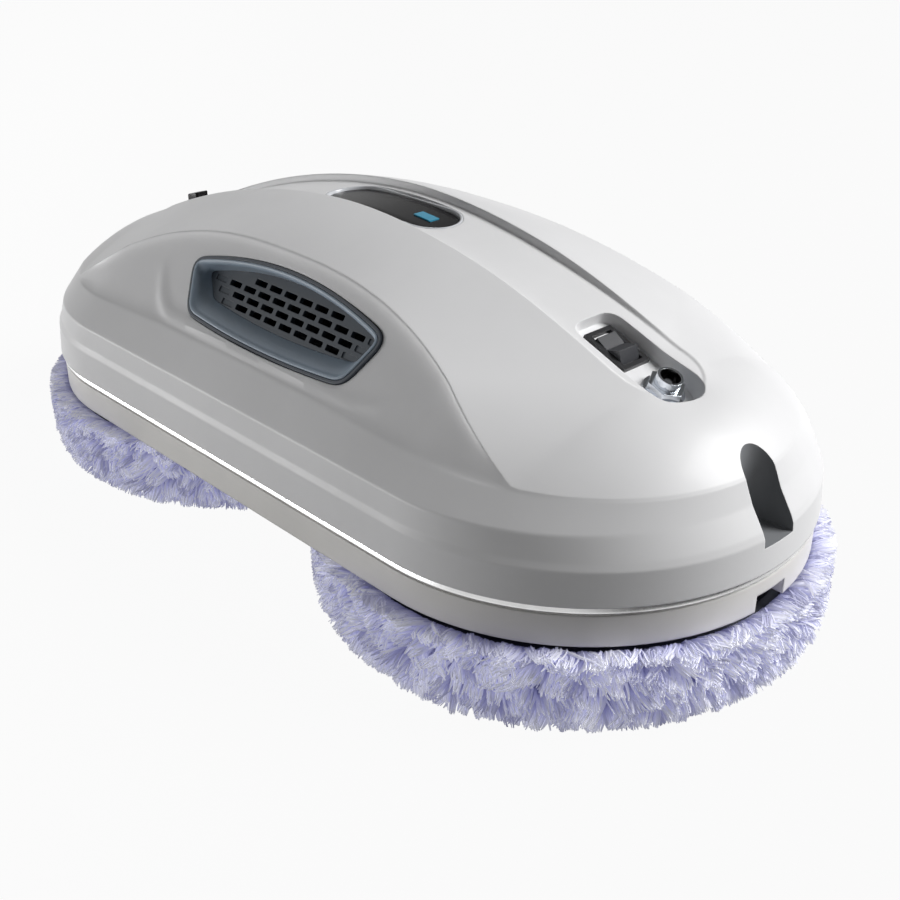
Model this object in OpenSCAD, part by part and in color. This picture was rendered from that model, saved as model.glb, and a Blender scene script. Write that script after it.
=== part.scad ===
// Window cleaning robot: two felted wheels, a suction fan and a domed shell.
// X runs along the body towards the cord end, Z is up and Z = 0 is the glass or floor under the pads.

/* [Body] */
// Distance between the two wheel axles
axle_spacing = 148; // [148:1:156]
// Width of the shell at its lower edge
shell_w = 135.4; // [134:0.2:142]
// Height of the crown above the floor
crown_h = 98.3; // [96:0.5:106]
// Thickness of the shell wall
shell_wall = 2.4; // [2:0.1:2.8]
// Height of the base tray's lower edge above the floor
body_lift = 23.6; // [23:0.2:26]
// Height of the base tray's outer wall
base_h = 9.6; // [9:0.2:11]
// Height of the dark seam between the base tray and the shell
seam_h = 1.9; // [1.5:0.1:3]
// Inset of the base tray's wall from the shell's lower edge
base_inset = 0.9; // [0.5:0.1:1.6]
// Thickness of the base tray's floor
base_floor = 3; // [2.4:0.2:3.6]

/* [Terraces round the shell] */
// Height of the vertical band above the shell's lower edge
skirt_h = 9.3; // [8:0.2:10]
// Height of the narrow ridge above the vertical band
ridge_h = 1.8; // [1.2:0.2:3]
// Height of the lower sloped band
low_band_h = 6.1; // [5:0.2:7]
// Height of the upper sloped band at the ends
high_band_h = 4.8; // [4:0.2:6]
// How much higher the upper band ends at mid-length
high_band_rise = 5.2; // [3:0.2:6]
// Inset of the top of the vertical band
skirt_inset = 0.7; // [0.4:0.1:1]
// Inset of the ridge's upper edge
ridge_inset = 1.5; // [1.2:0.1:2]
// Inset of the lower band's upper edge at the ends
low_band_inset = 5.4; // [4:0.2:6]
// Inset of the lower band's upper edge along the sides
low_band_side_inset = 2.4; // [2.2:0.2:4]
// Inset of the upper band's upper edge
high_band_inset = 9.7; // [9:0.1:11]

/* [Flanks and spine channel] */
// Reach of the arched flank past each wheel axle
flank_past = 30; // [24:1:36]
// Drop of the flank's top below the crown
flank_under = 8.5; // [6:0.5:11]
// Inward lean of the flank, as run over rise
flank_lean = 0.724; // [0.65:0.01:0.8]
// Reach of the spine channel past each wheel axle
channel_past = 38.7; // [34:0.1:42]
// Half-width of the channel along the spine
channel_half_w = 12.7; // [11.5:0.1:14]
// Depth of the channel along the spine
channel_depth = 2.2; // [1.6:0.1:2.6]
// Width of the step at the channel's edge
channel_step = 0.8; // [0.6:0.1:1.4]
// Height of the channel's ends above the upper band's ends
channel_end_up = 14.2; // [12:0.2:17]

/* [Vents] */
// Place of both side vents along the body
vent_x = 4; // [0:1:8]
// Length of a vent's opening
vent_l = 84; // [70:1:88]
// Height of a vent's opening, along the flank
vent_h = 26; // [22:0.5:28]
// Distance of a vent's centre above the flank's foot, along the flank
vent_up = 16.5; // [15:0.5:18]
// Width of the vent's raised bezel
vent_rim = 1.6; // [1:0.1:2]
// Depth of the vent's well
vent_depth = 7; // [5:0.5:8]
// Wall of the vent's well
vent_wall = 1.4; // [1:0.1:1.8]
// Thickness of the slotted grille
grille_t = 1.6; // [1.2:0.1:2]
// Length of a grille slot
slot_l = 5; // [4:0.1:5.6]
// Width of a grille slot
slot_w = 1.7; // [1.2:0.1:2]
// Distance between grille slots along a row
slot_pitch = 6.9; // [6.8:0.1:8]
// Distance between rows of grille slots
row_pitch = 3.7; // [3.4:0.1:4.4]

/* [Status window] */
// Length of the status window
window_l = 52; // [44:1:54]
// Width of the status window
window_w = 19; // [16:0.5:19.4]
// Thickness of the window's lens
window_t = 1.2; // [0.8:0.1:1.3]
// Depth of the lens's face below the channel's floor
window_sink = 0.6; // [0.3:0.1:0.7]

/* [Switch and socket recess] */
// Place of the rocker switch, in from the end of the shell
switch_in = 54; // [52:0.5:56]
// Slope of the recess's floor in degrees
recess_tilt = 21.7; // [19:0.1:23]
// Length of the recess's floor
recess_l = 37; // [36:0.5:39]
// Width of the recess's floor
recess_w = 14; // [13.4:0.2:14.6]
// How far the recess's walls slope out on each side
recess_flare = 2.6; // [1.6:0.1:2.8]
// Length of the rocker switch's bezel
switch_l = 14.9; // [14:0.1:15.4]
// Width of the rocker switch's bezel
switch_w = 10.2; // [9.6:0.1:11]
// Height of the bezel above the recess's floor
switch_rim = 1.1; // [0.8:0.1:1.4]
// Depth of the switch's housing below the recess's floor
switch_depth = 12; // [11:0.5:13]
// Tilt of the rocker at rest in degrees
rocker_tilt = 11; // [8:0.5:12]
// Distance from the switch to the power socket along the recess's floor
socket_gap = 17.2; // [16.6:0.1:18]
// Outer diameter of the socket's barrel
socket_d = 7; // [6.6:0.1:7.4]
// Bore of the socket's barrel
socket_bore = 5.5; // [5:0.1:5.6]
// Height of the barrel above the recess's floor
socket_up = 5.2; // [4.6:0.1:6]
// Width of the socket's nut across its flats
nut_flats = 9; // [8.4:0.1:9.6]
// Width of the cord notch in the end of the shell
notch_w = 12; // [10:0.5:13]
// How far the cord notch runs into the shell
notch_l = 12.6; // [11:0.2:14]
// Height of the cord notch's floor above the shell's lower edge
notch_up = 7; // [6:0.2:8]

/* [Wheels and pads] */
// Gap between the two cleaning pads at mid-length
pad_gap = 0.8; // [0.6:0.1:4]
// Diameter of the hole in a cleaning pad
pad_hole = 56; // [50:1:60]
// Thickness of a pad's pile under its wheel
pad_pile = 10; // [9:0.2:11]
// Height of a pad's rim
pad_rim = 20.5; // [19:0.2:21.4]
// How far a cleaning pad stands out past its wheel disc
pad_over = 9.6; // [8.8:0.1:12]
// Thickness of a wheel disc
wheel_t = 4; // [3:0.2:5]
// Thickness of the hook ring that holds a pad
hook_t = 1; // [0.8:0.1:1.2]
// Outer diameter of a wheel's hub
hub_d = 22; // [21:0.5:23]
// Bore of a wheel's hub, through which the air is drawn
hub_bore = 16; // [15:0.5:17]

/* [Drive] */
// Teeth of the gear on each wheel
wheel_teeth = 56; // [50:1:58]
// Teeth of the small gear of the compound gear
small_teeth = 14; // [13:1:16]
// Teeth of the large gear of the compound gear
large_teeth = 42; // [38:1:43]
// Teeth of the motor's pinion
pinion_teeth = 12; // [12:1:14]
// Module of the wheel's gear and the small gear
slow_module = 1; // [0.9:0.05:1]
// Module of the large gear and the pinion
fast_module = 0.8; // [0.7:0.05:0.8]
// Diameter of a drive motor
motor_d = 24; // [22:0.5:25]
// Height of a drive motor
motor_h = 26; // [24:1:28]

/* [Fan] */
// Gap between the fan housing and a drive motor
fan_side = 1.2; // [0.8:0.1:3]
// Height of the impeller's blades
blade_h = 9; // [8:0.5:10]
// Number of impeller blades
blades = 12; // [8:1:14]
// Diameter of the fan motor
fan_motor_d = 28; // [26:1:30]
// Gap between the fan motor and the backing of the status window
fan_headroom = 6.7; // [5.7:0.1:9.7]
// Outer width of the air channel
air_w = 22; // [20:0.5:23]
// Outer height of the air channel
air_h = 11; // [10:0.5:11.5]

/* [Electronics] */
// Length of the circuit board along the body
board_l = 52; // [46:1:54]
// Width of the circuit board
board_w = 84; // [80:1:86]
// Diameter of a battery cell
cell_d = 14.2; // [13.8:0.1:14.6]
// Length of a battery cell
cell_l = 50; // [48:1:52]

/* [Hidden] */

$fn = 64;
// One overrun serves every cut.
over = 1;
// Thickness of the flat ends between which a hull is drawn
sliver = 0.1;
// Clearance of a turning shaft in its bore
running_fit = 0.05;
// Clearance between fixed pieces that slot together
fit = 0.15;
// Clearance between a turning piece and its neighbours
air_gap = 0.6;

// The shell and its terraces
shell_r = shell_w / 2;
axle_x = axle_spacing / 2;
shell_z = body_lift + base_h + seam_h;
skirt_z = shell_z + skirt_h;
ridge_z = skirt_z + ridge_h;
low_band_z = ridge_z + low_band_h;
high_band_z = low_band_z + high_band_h;
high_band_r = shell_r - high_band_inset;
flank_half = axle_x + flank_past;
channel_half = axle_x + channel_past;
flank_rise = crown_h - flank_under - high_band_z;
spine_drop = crown_h - channel_end_up - high_band_z;
shell_end = axle_x + shell_r - skirt_inset;
switch_x = shell_end - switch_in;
// Columns round a quarter of the shell: along its arc and along its straight side
arc_columns = 12;
side_columns = 6;
quarter = arc_columns + side_columns;
columns = 4 * quarter;
// Roof rows between the arch and the channel, as shares of the way
roof_shares = [0.04, 0.1, 0.18, 0.3, 0.45, 0.62, 0.8];
// The least bevel above the upper band where there is no flank
brow = 0.8;
// Where the channel starts to fade out towards its ends, and how much of its depth fades
fade_from_share = 0.84;
fade_share = 0.8;
// How straight the flank and the ends of the roof climb, and where one turns into the other
flank_straight_share = 0.7;
end_straight_share = 0.4;
turn_from_share = 0.5;
turn_share = 0.6;

// The base tray, its locating lip and the shell's screws
base_r = shell_r - base_inset;
base_top = body_lift + base_h;
floor_z = body_lift + base_floor;
base_step = 0.8;
lip_gap = 0.5;
lip_r = shell_r - shell_wall - lip_gap;
lip_wall = 2;
lip_h = 2.4;
lip_top = shell_z + lip_h;
screw_r = 1.45;
screw_head_r = 2.8;
screw_head_h = 2.2;
screw_bite = 6.5;
screw_end = 0.5;
post_r = 4;
post_up = 1;
post_reach = lip_r - post_r - fit;
post_angle = 40;
post_top = lip_top + post_up;
post_places = [for (sx = [-1, 1]) for (sy = [-1, 1])
        [sx * (axle_x + post_reach * cos(post_angle)), sy * post_reach * sin(post_angle)],
    [0, post_reach], [0, -post_reach]];
boss_h = 8;
boss_r = 4.5;
// Notch in the base tray's lower edge, under the cord notch
pull_w = notch_w;
pull_l = 4;
pull_h = 4.6;
// Wall round the pockets that are let into the shell
pocket_wall = 2;

// The vents, in the flank's own plane
flank_angle = 90 - atan(flank_lean);
vent_top_sag = 6;
vent_bottom_sag = 4.4;
vent_taper = 8;
vent_corner = 4;
vent_steps = 14;
vent_rebate = 1.2;
vent_proud = 0.7;
// The well's floor is narrower than its mouth, most of all along the lower edge.
well_side = 5;
well_low = 7;
well_high = 2;
grille_rows = 4;

// The status window follows the channel's floor, a circle through its ends.
window_z = channel_floor_z(0) - window_sink;
window_rise = channel_floor_z(0) - channel_floor_z(window_l / 2);
window_r = (pow(window_l / 2, 2) + pow(window_rise, 2)) / (2 * window_rise);
window_back = 1.4;
light_l = 7;
light_w = 3.6;
light_x = 15;

// The remote receiver's lens, on the channel's floor at the far end
lens_in = 6.7;
lens_x = lens_in - channel_half;
lens_l = 6;
lens_w = 5;
lens_up = 2;
lens_flange = 1.5;
lens_flange_t = 1;
lens_root = shell_wall + lens_flange_t + fit;
lens_slope = atan((channel_floor_z(lens_x + lens_l) - channel_floor_z(lens_x - lens_l)) / (2 * lens_l));

// The recess for the switch and the socket, in its floor's own plane
recess_depth = 4;
recess_z = channel_floor_z(switch_x) - recess_depth;
recess_back = 10;
recess_x = recess_l / 2 - recess_back;
recess_h = 9;
recess_floor = 2;
recess_corner = 4;
switch_body_l = 13.2;
switch_body_w = 8.6;
switch_cave_l = 12;
switch_cave_w = 7.4;
switch_cave_d = 9;
pivot_z = -1.2;
pivot_r = 1;
rocker_w = switch_cave_w - 2 * fit;
rocker_half = 5.5;
rocker_ridge = 3.8;
rocker_dip = 2.2;
rocker_root = 5;
blade_t = 0.8;
blade_w = 4.8;
blade_l = 5;
blade_place = 3.6;
socket_flange_r = 5.6;
socket_body_r = 5;
socket_body_h = 7;
washer_t = 0.5;
washer_r = 5.7;
nut_h = 2.2;
socket_floor = 5.5;
pin_r = 1.05;
pin_sink = 1.6;
insulator_t = 1.4;

// The cord notch
notch_z = shell_z + notch_up;
notch_x = shell_end - notch_l + notch_w / 2;

// Wheels and pads, from the floor up
hub_r = hub_d / 2;
pad_r = (axle_spacing - pad_gap) / 2;
pad_round = 4.5;
pad_edge = 1.5;
bend_steps = 4;
wheel_z = pad_pile + hook_t;
wheel_r = pad_r - pad_over;
wheel_top = wheel_z + wheel_t;
wheel_lip = 3;
wheel_lip_h = 4;
hook_inset = 2;
hook_inner = pad_hole / 2 + hook_inset;
bush_wall = 2.5;
bush_flange = 2;
bush_flange_t = 0.8;
// The hub steps in to carry its gear and then its clip.
hub_step = 1;
gear_z = floor_z + bush_flange_t + air_gap;
gear_t = 4;
clip_h = 1.2;
clip_wall = 2.5;
hub_end = 0.8;
hub_top = gear_z + gear_t + clip_h + hub_end;

// Gear train: wheel gear to compound gear to motor pinion
pressure = 20;
addendum_share = 0.85;
dedendum_share = 1.2;
backlash = 0.14;
flank_steps = 3;
slow_gap = slow_module * (wheel_teeth + small_teeth) / 2;
fast_gap = fast_module * (large_teeth + pinion_teeth) / 2;
compound_angle = 240;
compound_at = [axle_x + slow_gap * cos(compound_angle), slow_gap * sin(compound_angle)];
pinion_at = [compound_at[0] - fast_gap, compound_at[1]];
large_z = gear_z + gear_t + air_gap;
large_t = 2.6;
gear_pin_r = 1.5;
pin_boss_r = 3.5;
pin_boss_h = gear_z - air_gap / 2 - floor_z;
plate_gap = 0.8;
plate_z = large_z + large_t + plate_gap;
plate_t = 2;
plate_edge = 1;
leg_r = 3;
leg_gap = 3.8;
shaft_r = 1;
shaft_l = 12;
motor_z = plate_z + plate_t;
// Each leg of the gear plate: the centre that it stands off, its distance from there and its direction
large_r = fast_module * large_teeth / 2;
legs = [[compound_at, large_r + leg_r + leg_gap, -70], [pinion_at, motor_d / 2 + leg_r + leg_gap, -124],
    [pinion_at, motor_d / 2 + leg_r + leg_gap, 131]];
leg_places = [for (g = legs) g[0] + g[1] * [cos(g[2]), sin(g[2])]];

// Air channel, fan and fan motor
channel_z = hub_top + air_gap;
channel_wall = 1.8;
drum_r = 17;
channel_leg_x = drum_r + leg_r + channel_wall / 2;
inlet_r = 14;
fan_z = channel_z + air_h;
fan_wall = 2;
fan_gap = 2;
fan_r = norm(pinion_at) - motor_d / 2 - fan_side;
impeller_r = fan_r - fan_wall - fan_gap;
back_t = 1.4;
blade_z = fan_z + fan_wall + air_gap;
fan_top = blade_z + blade_h + back_t + air_gap;
lid_t = 2;
fan_shaft_r = 1.5;
impeller_hub_r = 6;
impeller_blade_t = 1.2;
impeller_blade_share = 0.68;
impeller_blade_angle = 35;
window_fan_w = 28;
bearing_l = 8;
fan_motor_z = fan_top + lid_t;
fan_motor_h = window_z - window_t - window_back - fan_headroom - fan_motor_z;

// Decks for the circuit board and the battery
deck_gap = 1.2;
deck_z = fan_z + deck_gap;
deck_t = 1.6;
deck_post_r = 3;
peg_r = 1.4;
peg_up = 1.4;
deck_round_r = 52;
deck_edge = 4;
// Each deck post: its distance from the axle and its direction
deck_rays = [[board_w / 2 - deck_edge, 86], [deck_round_r - deck_edge, 32]];
deck_posts = [for (r = deck_rays) [axle_x + r[0] * cos(r[1]), r[0] * sin(r[1])]];
board_back = 7.5;
board_x = axle_x - board_back;
tray_gap = 4;
tray_x = pinion_at[0] + motor_d / 2 + tray_gap;
tray_l = board_x + board_l - tray_x;
cell_gap = 0.4;
cell_count = 4;
tray_stop = 2;
chip_l = 14;
chip_t = 1.6;
capacitor_r = 4;
capacitor_h = 9;

function ease(t) = let(c = max(0, min(1, t))) c * c * (3 - 2 * c);
// A point of the ring of column j: centre distance cx, end radius re and side radius rs
function ring(j, cx, re, rs) =
    let(q = floor(j / quarter), r = j - q * quarter, i = q % 2 == 0 ? r : quarter - r,
        sx = q == 0 || q == 3 ? 1 : -1, sy = q < 2 ? -1 : 1,
        a = 90 * min(i, arc_columns) / arc_columns,
        straight = cx * (1 - max(0, i - arc_columns) / side_columns))
    [sx * (straight + re * cos(a)), sy * rs * sin(a)];
function high_edge_z(x) =
    high_band_z + high_band_rise * (1 - pow(abs(x) / (axle_x + high_band_r), 1.5));
function arch_z(x) =
    let(arch = high_band_z + flank_rise * (1 - pow(min(1, abs(x) / flank_half), 2.5)))
    max(arch, high_edge_z(x) + brow);
function spine_z(x) = crown_h - spine_drop * pow(abs(x) / channel_half, 1.85);
function channel_floor_z(x) =
    spine_z(x) - channel_depth
        * (1 - fade_share * ease((abs(x) / channel_half - fade_from_share) / (1 - fade_from_share)));
// How the roof climbs from the arch to the channel: nearly straight on the flanks, round at the ends
function climb(s, w) =
    let(f = flank_straight_share, e = end_straight_share, n = 2.67)
    (1 - w) * (f * s + (1 - f) * (1 - pow(1 - s, 2)))
    + w * (e * s + (1 - e) * pow(1 - pow(1 - s, n), 1 / n));
function arch_point(j, t) =
    let(p = ring(j, axle_x, high_band_r, high_band_r), z1 = high_edge_z(p[0]), z5 = arch_z(p[0]),
        r = high_band_r - flank_lean * (z5 - z1) - t, q = ring(j, axle_x, r, r))
    [q[0], q[1], z5 - t];
function channel_point(j, t) =
    let(q = ring(j, channel_half - channel_half_w, channel_half_w, channel_half_w))
    [q[0], q[1], spine_z(q[0]) - t];
function roof_point(j, s, t) =
    let(a = arch_point(j, t), c = channel_point(j, t),
        w = ease((abs(a[0]) / flank_half - turn_from_share) / turn_share))
    [a[0] + s * (c[0] - a[0]), a[1] + s * (c[1] - a[1]), a[2] + climb(s, w) * (c[2] - a[2])];
function flat_ring(re, rs, z) = [for (j = [0:columns - 1]) let(p = ring(j, axle_x, re, rs)) [p[0], p[1], z]];
function edge_ring(r, t) =
    [for (j = [0:columns - 1])
        let(p = ring(j, axle_x, r, r), o = ring(j, axle_x, high_band_r, high_band_r))
        [p[0], p[1], high_edge_z(o[0]) - t / 2]];
function floor_ring(t) =
    [for (j = [0:columns - 1])
        let(w = channel_half_w - channel_step, q = ring(j, channel_half - channel_half_w, w, w))
        [q[0], q[1], channel_floor_z(q[0]) - t]];
// Every ring of the dome, t inside its outer face, from the lowest at z0 to the channel's floor
function dome_rings(t, z0) = concat(
    [flat_ring(shell_r - t, shell_r - t, z0),
     flat_ring(shell_r - skirt_inset - t, shell_r - skirt_inset - t, skirt_z),
     flat_ring(shell_r - ridge_inset - t, shell_r - ridge_inset - t, ridge_z),
     flat_ring(shell_r - low_band_inset - t, shell_r - low_band_side_inset - t, low_band_z),
     edge_ring(high_band_r - t, t),
     [for (j = [0:columns - 1]) arch_point(j, t)]],
    [for (s = roof_shares) [for (j = [0:columns - 1]) roof_point(j, s, t)]],
    [[for (j = [0:columns - 1]) channel_point(j, t)],
     floor_ring(t)]);

// The solid under the dome's face, t inside it, down to z0
module dome(t, z0) {
    rings = dome_rings(t, z0);
    n = len(rings);
    last = (n - 1) * columns;
    half = columns / 2;
    function at(k, j) = k * columns + (j + columns) % columns;
    points = [for (r = rings) for (p = r) p];
    sides = [for (k = [0:n - 2]) for (j = [0:columns - 1])
        for (f = [[at(k, j), at(k + 1, j + 1), at(k + 1, j)], [at(k, j), at(k, j + 1), at(k + 1, j + 1)]]) f];
    // The channel's floor and the dome's foot run straight across, from each column to its mirror image.
    top = [for (j = [0:half - 1])
        for (f = [[last + j, at(n - 1, -j - 1), at(n - 1, -j)], [last + j, last + j + 1, at(n - 1, -j - 1)]])
            if (f[0] != f[1] && f[1] != f[2] && f[2] != f[0]) f];
    bottom = [for (j = [0:half - 1])
        for (f = [[j, at(0, -j), at(0, -j - 1)], [j, at(0, -j - 1), j + 1]])
            if (f[0] != f[1] && f[1] != f[2] && f[2] != f[0]) f];
    polyhedron(points, concat(sides, top, bottom));
}

// A flat outline with straight sides and round ends about the two axles
module stadium(r, h, cx = axle_x) {
    linear_extrude(h) {
        square([2 * cx, 2 * r], center = true);
        for (s = [-1, 1]) translate([s * cx, 0]) circle(r, $fn = 128);
    }
}

// The cord end's pieces as they are, or the far end's, turned half round
module at_end(s) {
    rotate([0, 0, s > 0 ? 0 : 180]) children();
}

// The flank's own plane on the right side: X along the body, Y up the flank, Z out of it
module on_flank() {
    translate([vent_x, -high_band_r, high_edge_z(vent_x)]) rotate([flank_angle, 0, 0]) children();
}

// The recess's floor plane, with its origin under the switch's middle
module on_recess() {
    translate([switch_x, 0, recess_z]) rotate([0, recess_tilt, 0]) children();
}

// The vent's outline: two long shallow arcs and two slanted ends
module vent_outline(side = 0, low = 0, high = 0) {
    l = vent_l / 2 - side;
    b = l - vent_taper;
    top = vent_up + vent_h / 2 - high;
    foot = vent_up - vent_h / 2 + low;
    offset(r = vent_corner) offset(delta = -vent_corner)
    polygon(concat(
        [for (i = [0:vent_steps]) let(u = 1 - 2 * i / vent_steps) [l * u, top - vent_top_sag * u * u]],
        [for (i = [0:vent_steps]) let(u = 2 * i / vent_steps - 1) [b * u, foot + vent_bottom_sag * u * u]]));
}

module window_outline(grow = 0) {
    w = window_w / 2 + grow;
    square([window_l - window_w, 2 * w], center = true);
    for (s = [-1, 1]) translate([s * (window_l - window_w) / 2, 0]) circle(w);
}

// The recess's outline: square-cornered at the back, fully round in front
module recess_outline(grow = 0) {
    half = recess_w / 2;
    l = recess_l / 2;
    translate([recess_x, 0]) hull() {
        for (s = [-1, 1])
            translate([recess_corner - l, s * (half - recess_corner)]) circle(recess_corner + grow, $fn = 32);
        translate([l - half, 0]) circle(half + grow, $fn = 32);
    }
}

// The recess's space, from its floor up past the shell, with sloping walls
module recess_space(grow = 0, drop = 0) {
    hull() {
        translate([0, 0, -drop]) linear_extrude(sliver) recess_outline(grow);
        translate([0, 0, recess_h]) linear_extrude(sliver)
            recess_outline(grow + recess_flare * recess_h / recess_depth);
    }
}

// The cord notch's slot, grown by a wall where it is lined
module notch_space(grow = 0) {
    translate([notch_x, 0, notch_z - grow]) linear_extrude(crown_h) {
        circle(notch_w / 2 + grow);
        translate([0, -notch_w / 2 - grow]) square([notch_l + over, notch_w + 2 * grow]);
    }
}

module window_block(grow, t) {
    intersection() {
        translate([0, 0, window_z - 2 * window_rise - t]) linear_extrude(crown_h) window_outline(grow);
        difference() {
            translate([0, 0, window_z - window_r]) rotate([90, 0, 0])
                cylinder(r = window_r + crown_h - window_z, h = 2 * window_w, center = true, $fn = 128);
            translate([0, 0, window_z - window_r]) rotate([90, 0, 0])
                cylinder(r = window_r - t, h = 3 * window_w, center = true, $fn = 128);
        }
    }
}

module on_lens() {
    translate([lens_x, 0, channel_floor_z(lens_x)]) rotate([0, -lens_slope, 0]) children();
}

module top_shell() {
    color([0.9, 0.9, 0.91])
    difference() {
        dome(0, shell_z);
        // What is left standing inside: pocket walls, window backing and screw bosses
        difference() {
            dome(shell_wall, shell_z - over);
            on_recess() recess_space(pocket_wall, recess_floor);
            notch_space(pocket_wall);
            translate([0, 0, window_z - 2 * window_rise - window_t - window_back]) linear_extrude(crown_h)
                window_outline(pocket_wall);
            for (p = post_places) translate([p[0], p[1], post_top]) cylinder(r = boss_r, h = boss_h);
        }
        on_recess() {
            recess_space();
            translate([0, 0, -recess_floor])
                cube([switch_body_l + 2 * fit, switch_body_w + 2 * fit, 3 * recess_floor], center = true);
            translate([socket_gap, 0, -2 * recess_floor])
                cylinder(r = socket_d / 2 + running_fit, h = 3 * recess_floor);
        }
        notch_space();
        window_block(fit, window_t);
        for (m = [0, 1]) mirror([0, m, 0]) on_flank() {
            translate([0, 0, -2 * vent_depth]) linear_extrude(3 * vent_depth)
                offset(delta = fit) vent_outline();
            translate([0, 0, -vent_rebate]) linear_extrude(vent_depth)
                offset(delta = vent_rim + fit) vent_outline();
        }
        on_lens() cube([lens_l + 2 * fit, lens_w + 2 * fit, 4 * shell_wall], center = true);
        for (p = post_places) translate([p[0], p[1], post_top - over])
            cylinder(r = screw_r + running_fit, h = screw_bite + over);
    }
}

module base_tray() {
    color([0.87, 0.86, 0.84])
    difference() {
        union() {
            difference() {
                union() {
                    translate([0, 0, body_lift]) stadium(base_r, base_h - base_step);
                    translate([0, 0, body_lift]) stadium(base_r - base_step, base_h);
                    translate([0, 0, body_lift]) stadium(lip_r, lip_top - body_lift);
                }
                translate([0, 0, floor_z]) stadium(lip_r - lip_wall, lip_top);
            }
            for (p = post_places) translate([p[0], p[1], body_lift])
                cylinder(r = post_r, h = post_top - fit - body_lift);
            for (s = [1, -1]) at_end(s) {
                for (p = deck_posts) for (m = [-1, 1]) translate([p[0], m * p[1], body_lift]) {
                    cylinder(r = deck_post_r, h = deck_z - body_lift);
                    cylinder(r = peg_r, h = deck_z - body_lift + deck_t + peg_up);
                }
                translate([compound_at[0], compound_at[1], body_lift])
                    cylinder(r = pin_boss_r, h = floor_z + pin_boss_h - body_lift);
            }
        }
        for (s = [1, -1]) at_end(s) {
            translate([axle_x, 0, body_lift - over])
                cylinder(r = hub_r + bush_wall, h = base_floor + 2 * over);
            translate([compound_at[0], compound_at[1], body_lift + base_floor / 2])
                cylinder(r = gear_pin_r, h = base_floor + pin_boss_h);
        }
        for (p = post_places) translate([p[0], p[1], body_lift - over]) {
            cylinder(r = screw_r + fit, h = post_top);
            cylinder(r = screw_head_r + fit, h = screw_head_h + over);
        }
        translate([axle_x + base_r - pull_l, -pull_w / 2, body_lift - over])
            cube([pull_l + over, pull_w, pull_h + over]);
    }
}

module seam_trim() {
    color([0.2, 0.2, 0.21])
    translate([0, 0, base_top]) difference() {
        stadium(base_r - base_step, seam_h);
        translate([0, 0, -over]) stadium(lip_r + fit / 3, seam_h + 2 * over);
    }
}

module vent_bezel() {
    color([0.42, 0.46, 0.51])
    on_flank() difference() {
        union() {
            translate([0, 0, -vent_rebate]) linear_extrude(vent_rebate + vent_proud)
                offset(delta = vent_rim) vent_outline();
            hull() {
                translate([0, 0, -vent_rebate]) linear_extrude(vent_rebate / 2) vent_outline();
                translate([0, 0, -vent_depth]) linear_extrude(vent_rebate / 2)
                    offset(delta = vent_wall) vent_outline(well_side, well_low, well_high);
            }
        }
        hull() {
            translate([0, 0, vent_proud]) linear_extrude(over) offset(delta = -vent_wall) vent_outline();
            translate([0, 0, -vent_depth - over]) linear_extrude(over)
                vent_outline(well_side, well_low, well_high);
        }
    }
}

module vent_grille() {
    color([0.17, 0.19, 0.22])
    on_flank() translate([0, 0, -vent_depth - grille_t]) difference() {
        linear_extrude(grille_t) offset(delta = vent_wall) vent_outline(well_side, well_low, well_high);
        for (r = [0:grille_rows - 1]) {
            y = vent_up + (well_low - well_high) / 2 + (r - (grille_rows - 1) / 2) * row_pitch;
            n = floor((vent_l - 2 * well_side - vent_taper - slot_l) / slot_pitch);
            for (i = [0:n - 1])
                translate([(i - (n - 1) / 2 + (r % 2 == 0 ? 0.25 : -0.25)) * slot_pitch - slot_l / 2,
                    y - slot_w / 2, -over])
                    cube([slot_l, slot_w, grille_t + 2 * over]);
        }
    }
}

module status_window() {
    color([0.05, 0.05, 0.06])
    difference() {
        intersection() {
            window_block(0, window_t);
            translate([0, 0, window_z - window_r]) rotate([90, 0, 0])
                cylinder(r = window_r, h = 2 * window_w, center = true, $fn = 128);
        }
        translate([light_x, 0, window_z])
            cube([light_l + 2 * fit, light_w + 2 * fit, 4 * window_t], center = true);
    }
}

module status_light() {
    color([0.15, 0.55, 0.75])
    intersection() {
        window_block(0, window_t);
        translate([0, 0, window_z - window_r]) rotate([90, 0, 0])
            cylinder(r = window_r + fit, h = 2 * window_w, center = true, $fn = 128);
        translate([light_x, 0, window_z]) cube([light_l, light_w, 4 * window_t], center = true);
    }
}

module remote_lens() {
    color([0.06, 0.06, 0.07])
    on_lens() {
        translate([-lens_l / 2, -lens_w / 2, -lens_root]) cube([lens_l, lens_w, lens_up + lens_root]);
        translate([-lens_l / 2, -lens_w / 2 - lens_flange, -lens_root])
            cube([lens_l, lens_w + 2 * lens_flange, lens_flange_t]);
    }
}

module switch_housing() {
    color([0.14, 0.14, 0.15])
    on_recess() difference() {
        union() {
            translate([-switch_l / 2, -switch_w / 2, 0]) cube([switch_l, switch_w, switch_rim]);
            translate([-switch_body_l / 2, -switch_body_w / 2, -switch_depth])
                cube([switch_body_l, switch_body_w, switch_depth + switch_rim / 2]);
        }
        translate([-switch_cave_l / 2, -switch_cave_w / 2, -switch_cave_d])
            cube([switch_cave_l, switch_cave_w, switch_cave_d + switch_rim + over]);
        translate([0, 0, pivot_z]) rotate([90, 0, 0])
            cylinder(r = pivot_r + running_fit, h = switch_body_w - running_fit, center = true);
    }
}

module rocker() {
    color([0.24, 0.24, 0.26])
    on_recess() translate([0, 0, pivot_z]) rotate([90, -rocker_tilt, 0]) {
        linear_extrude(rocker_w, center = true)
            polygon([[-rocker_half, -pivot_r], [-rocker_half, rocker_dip / 4], [-rocker_ridge, rocker_ridge],
                [0, rocker_dip], [rocker_ridge, rocker_ridge], [rocker_half, rocker_dip / 4],
                [rocker_half, -pivot_r], [rocker_dip, -rocker_root], [-rocker_dip, -rocker_root]]);
        cylinder(r = pivot_r, h = switch_body_w - 4 * running_fit, center = true);
    }
}

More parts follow.
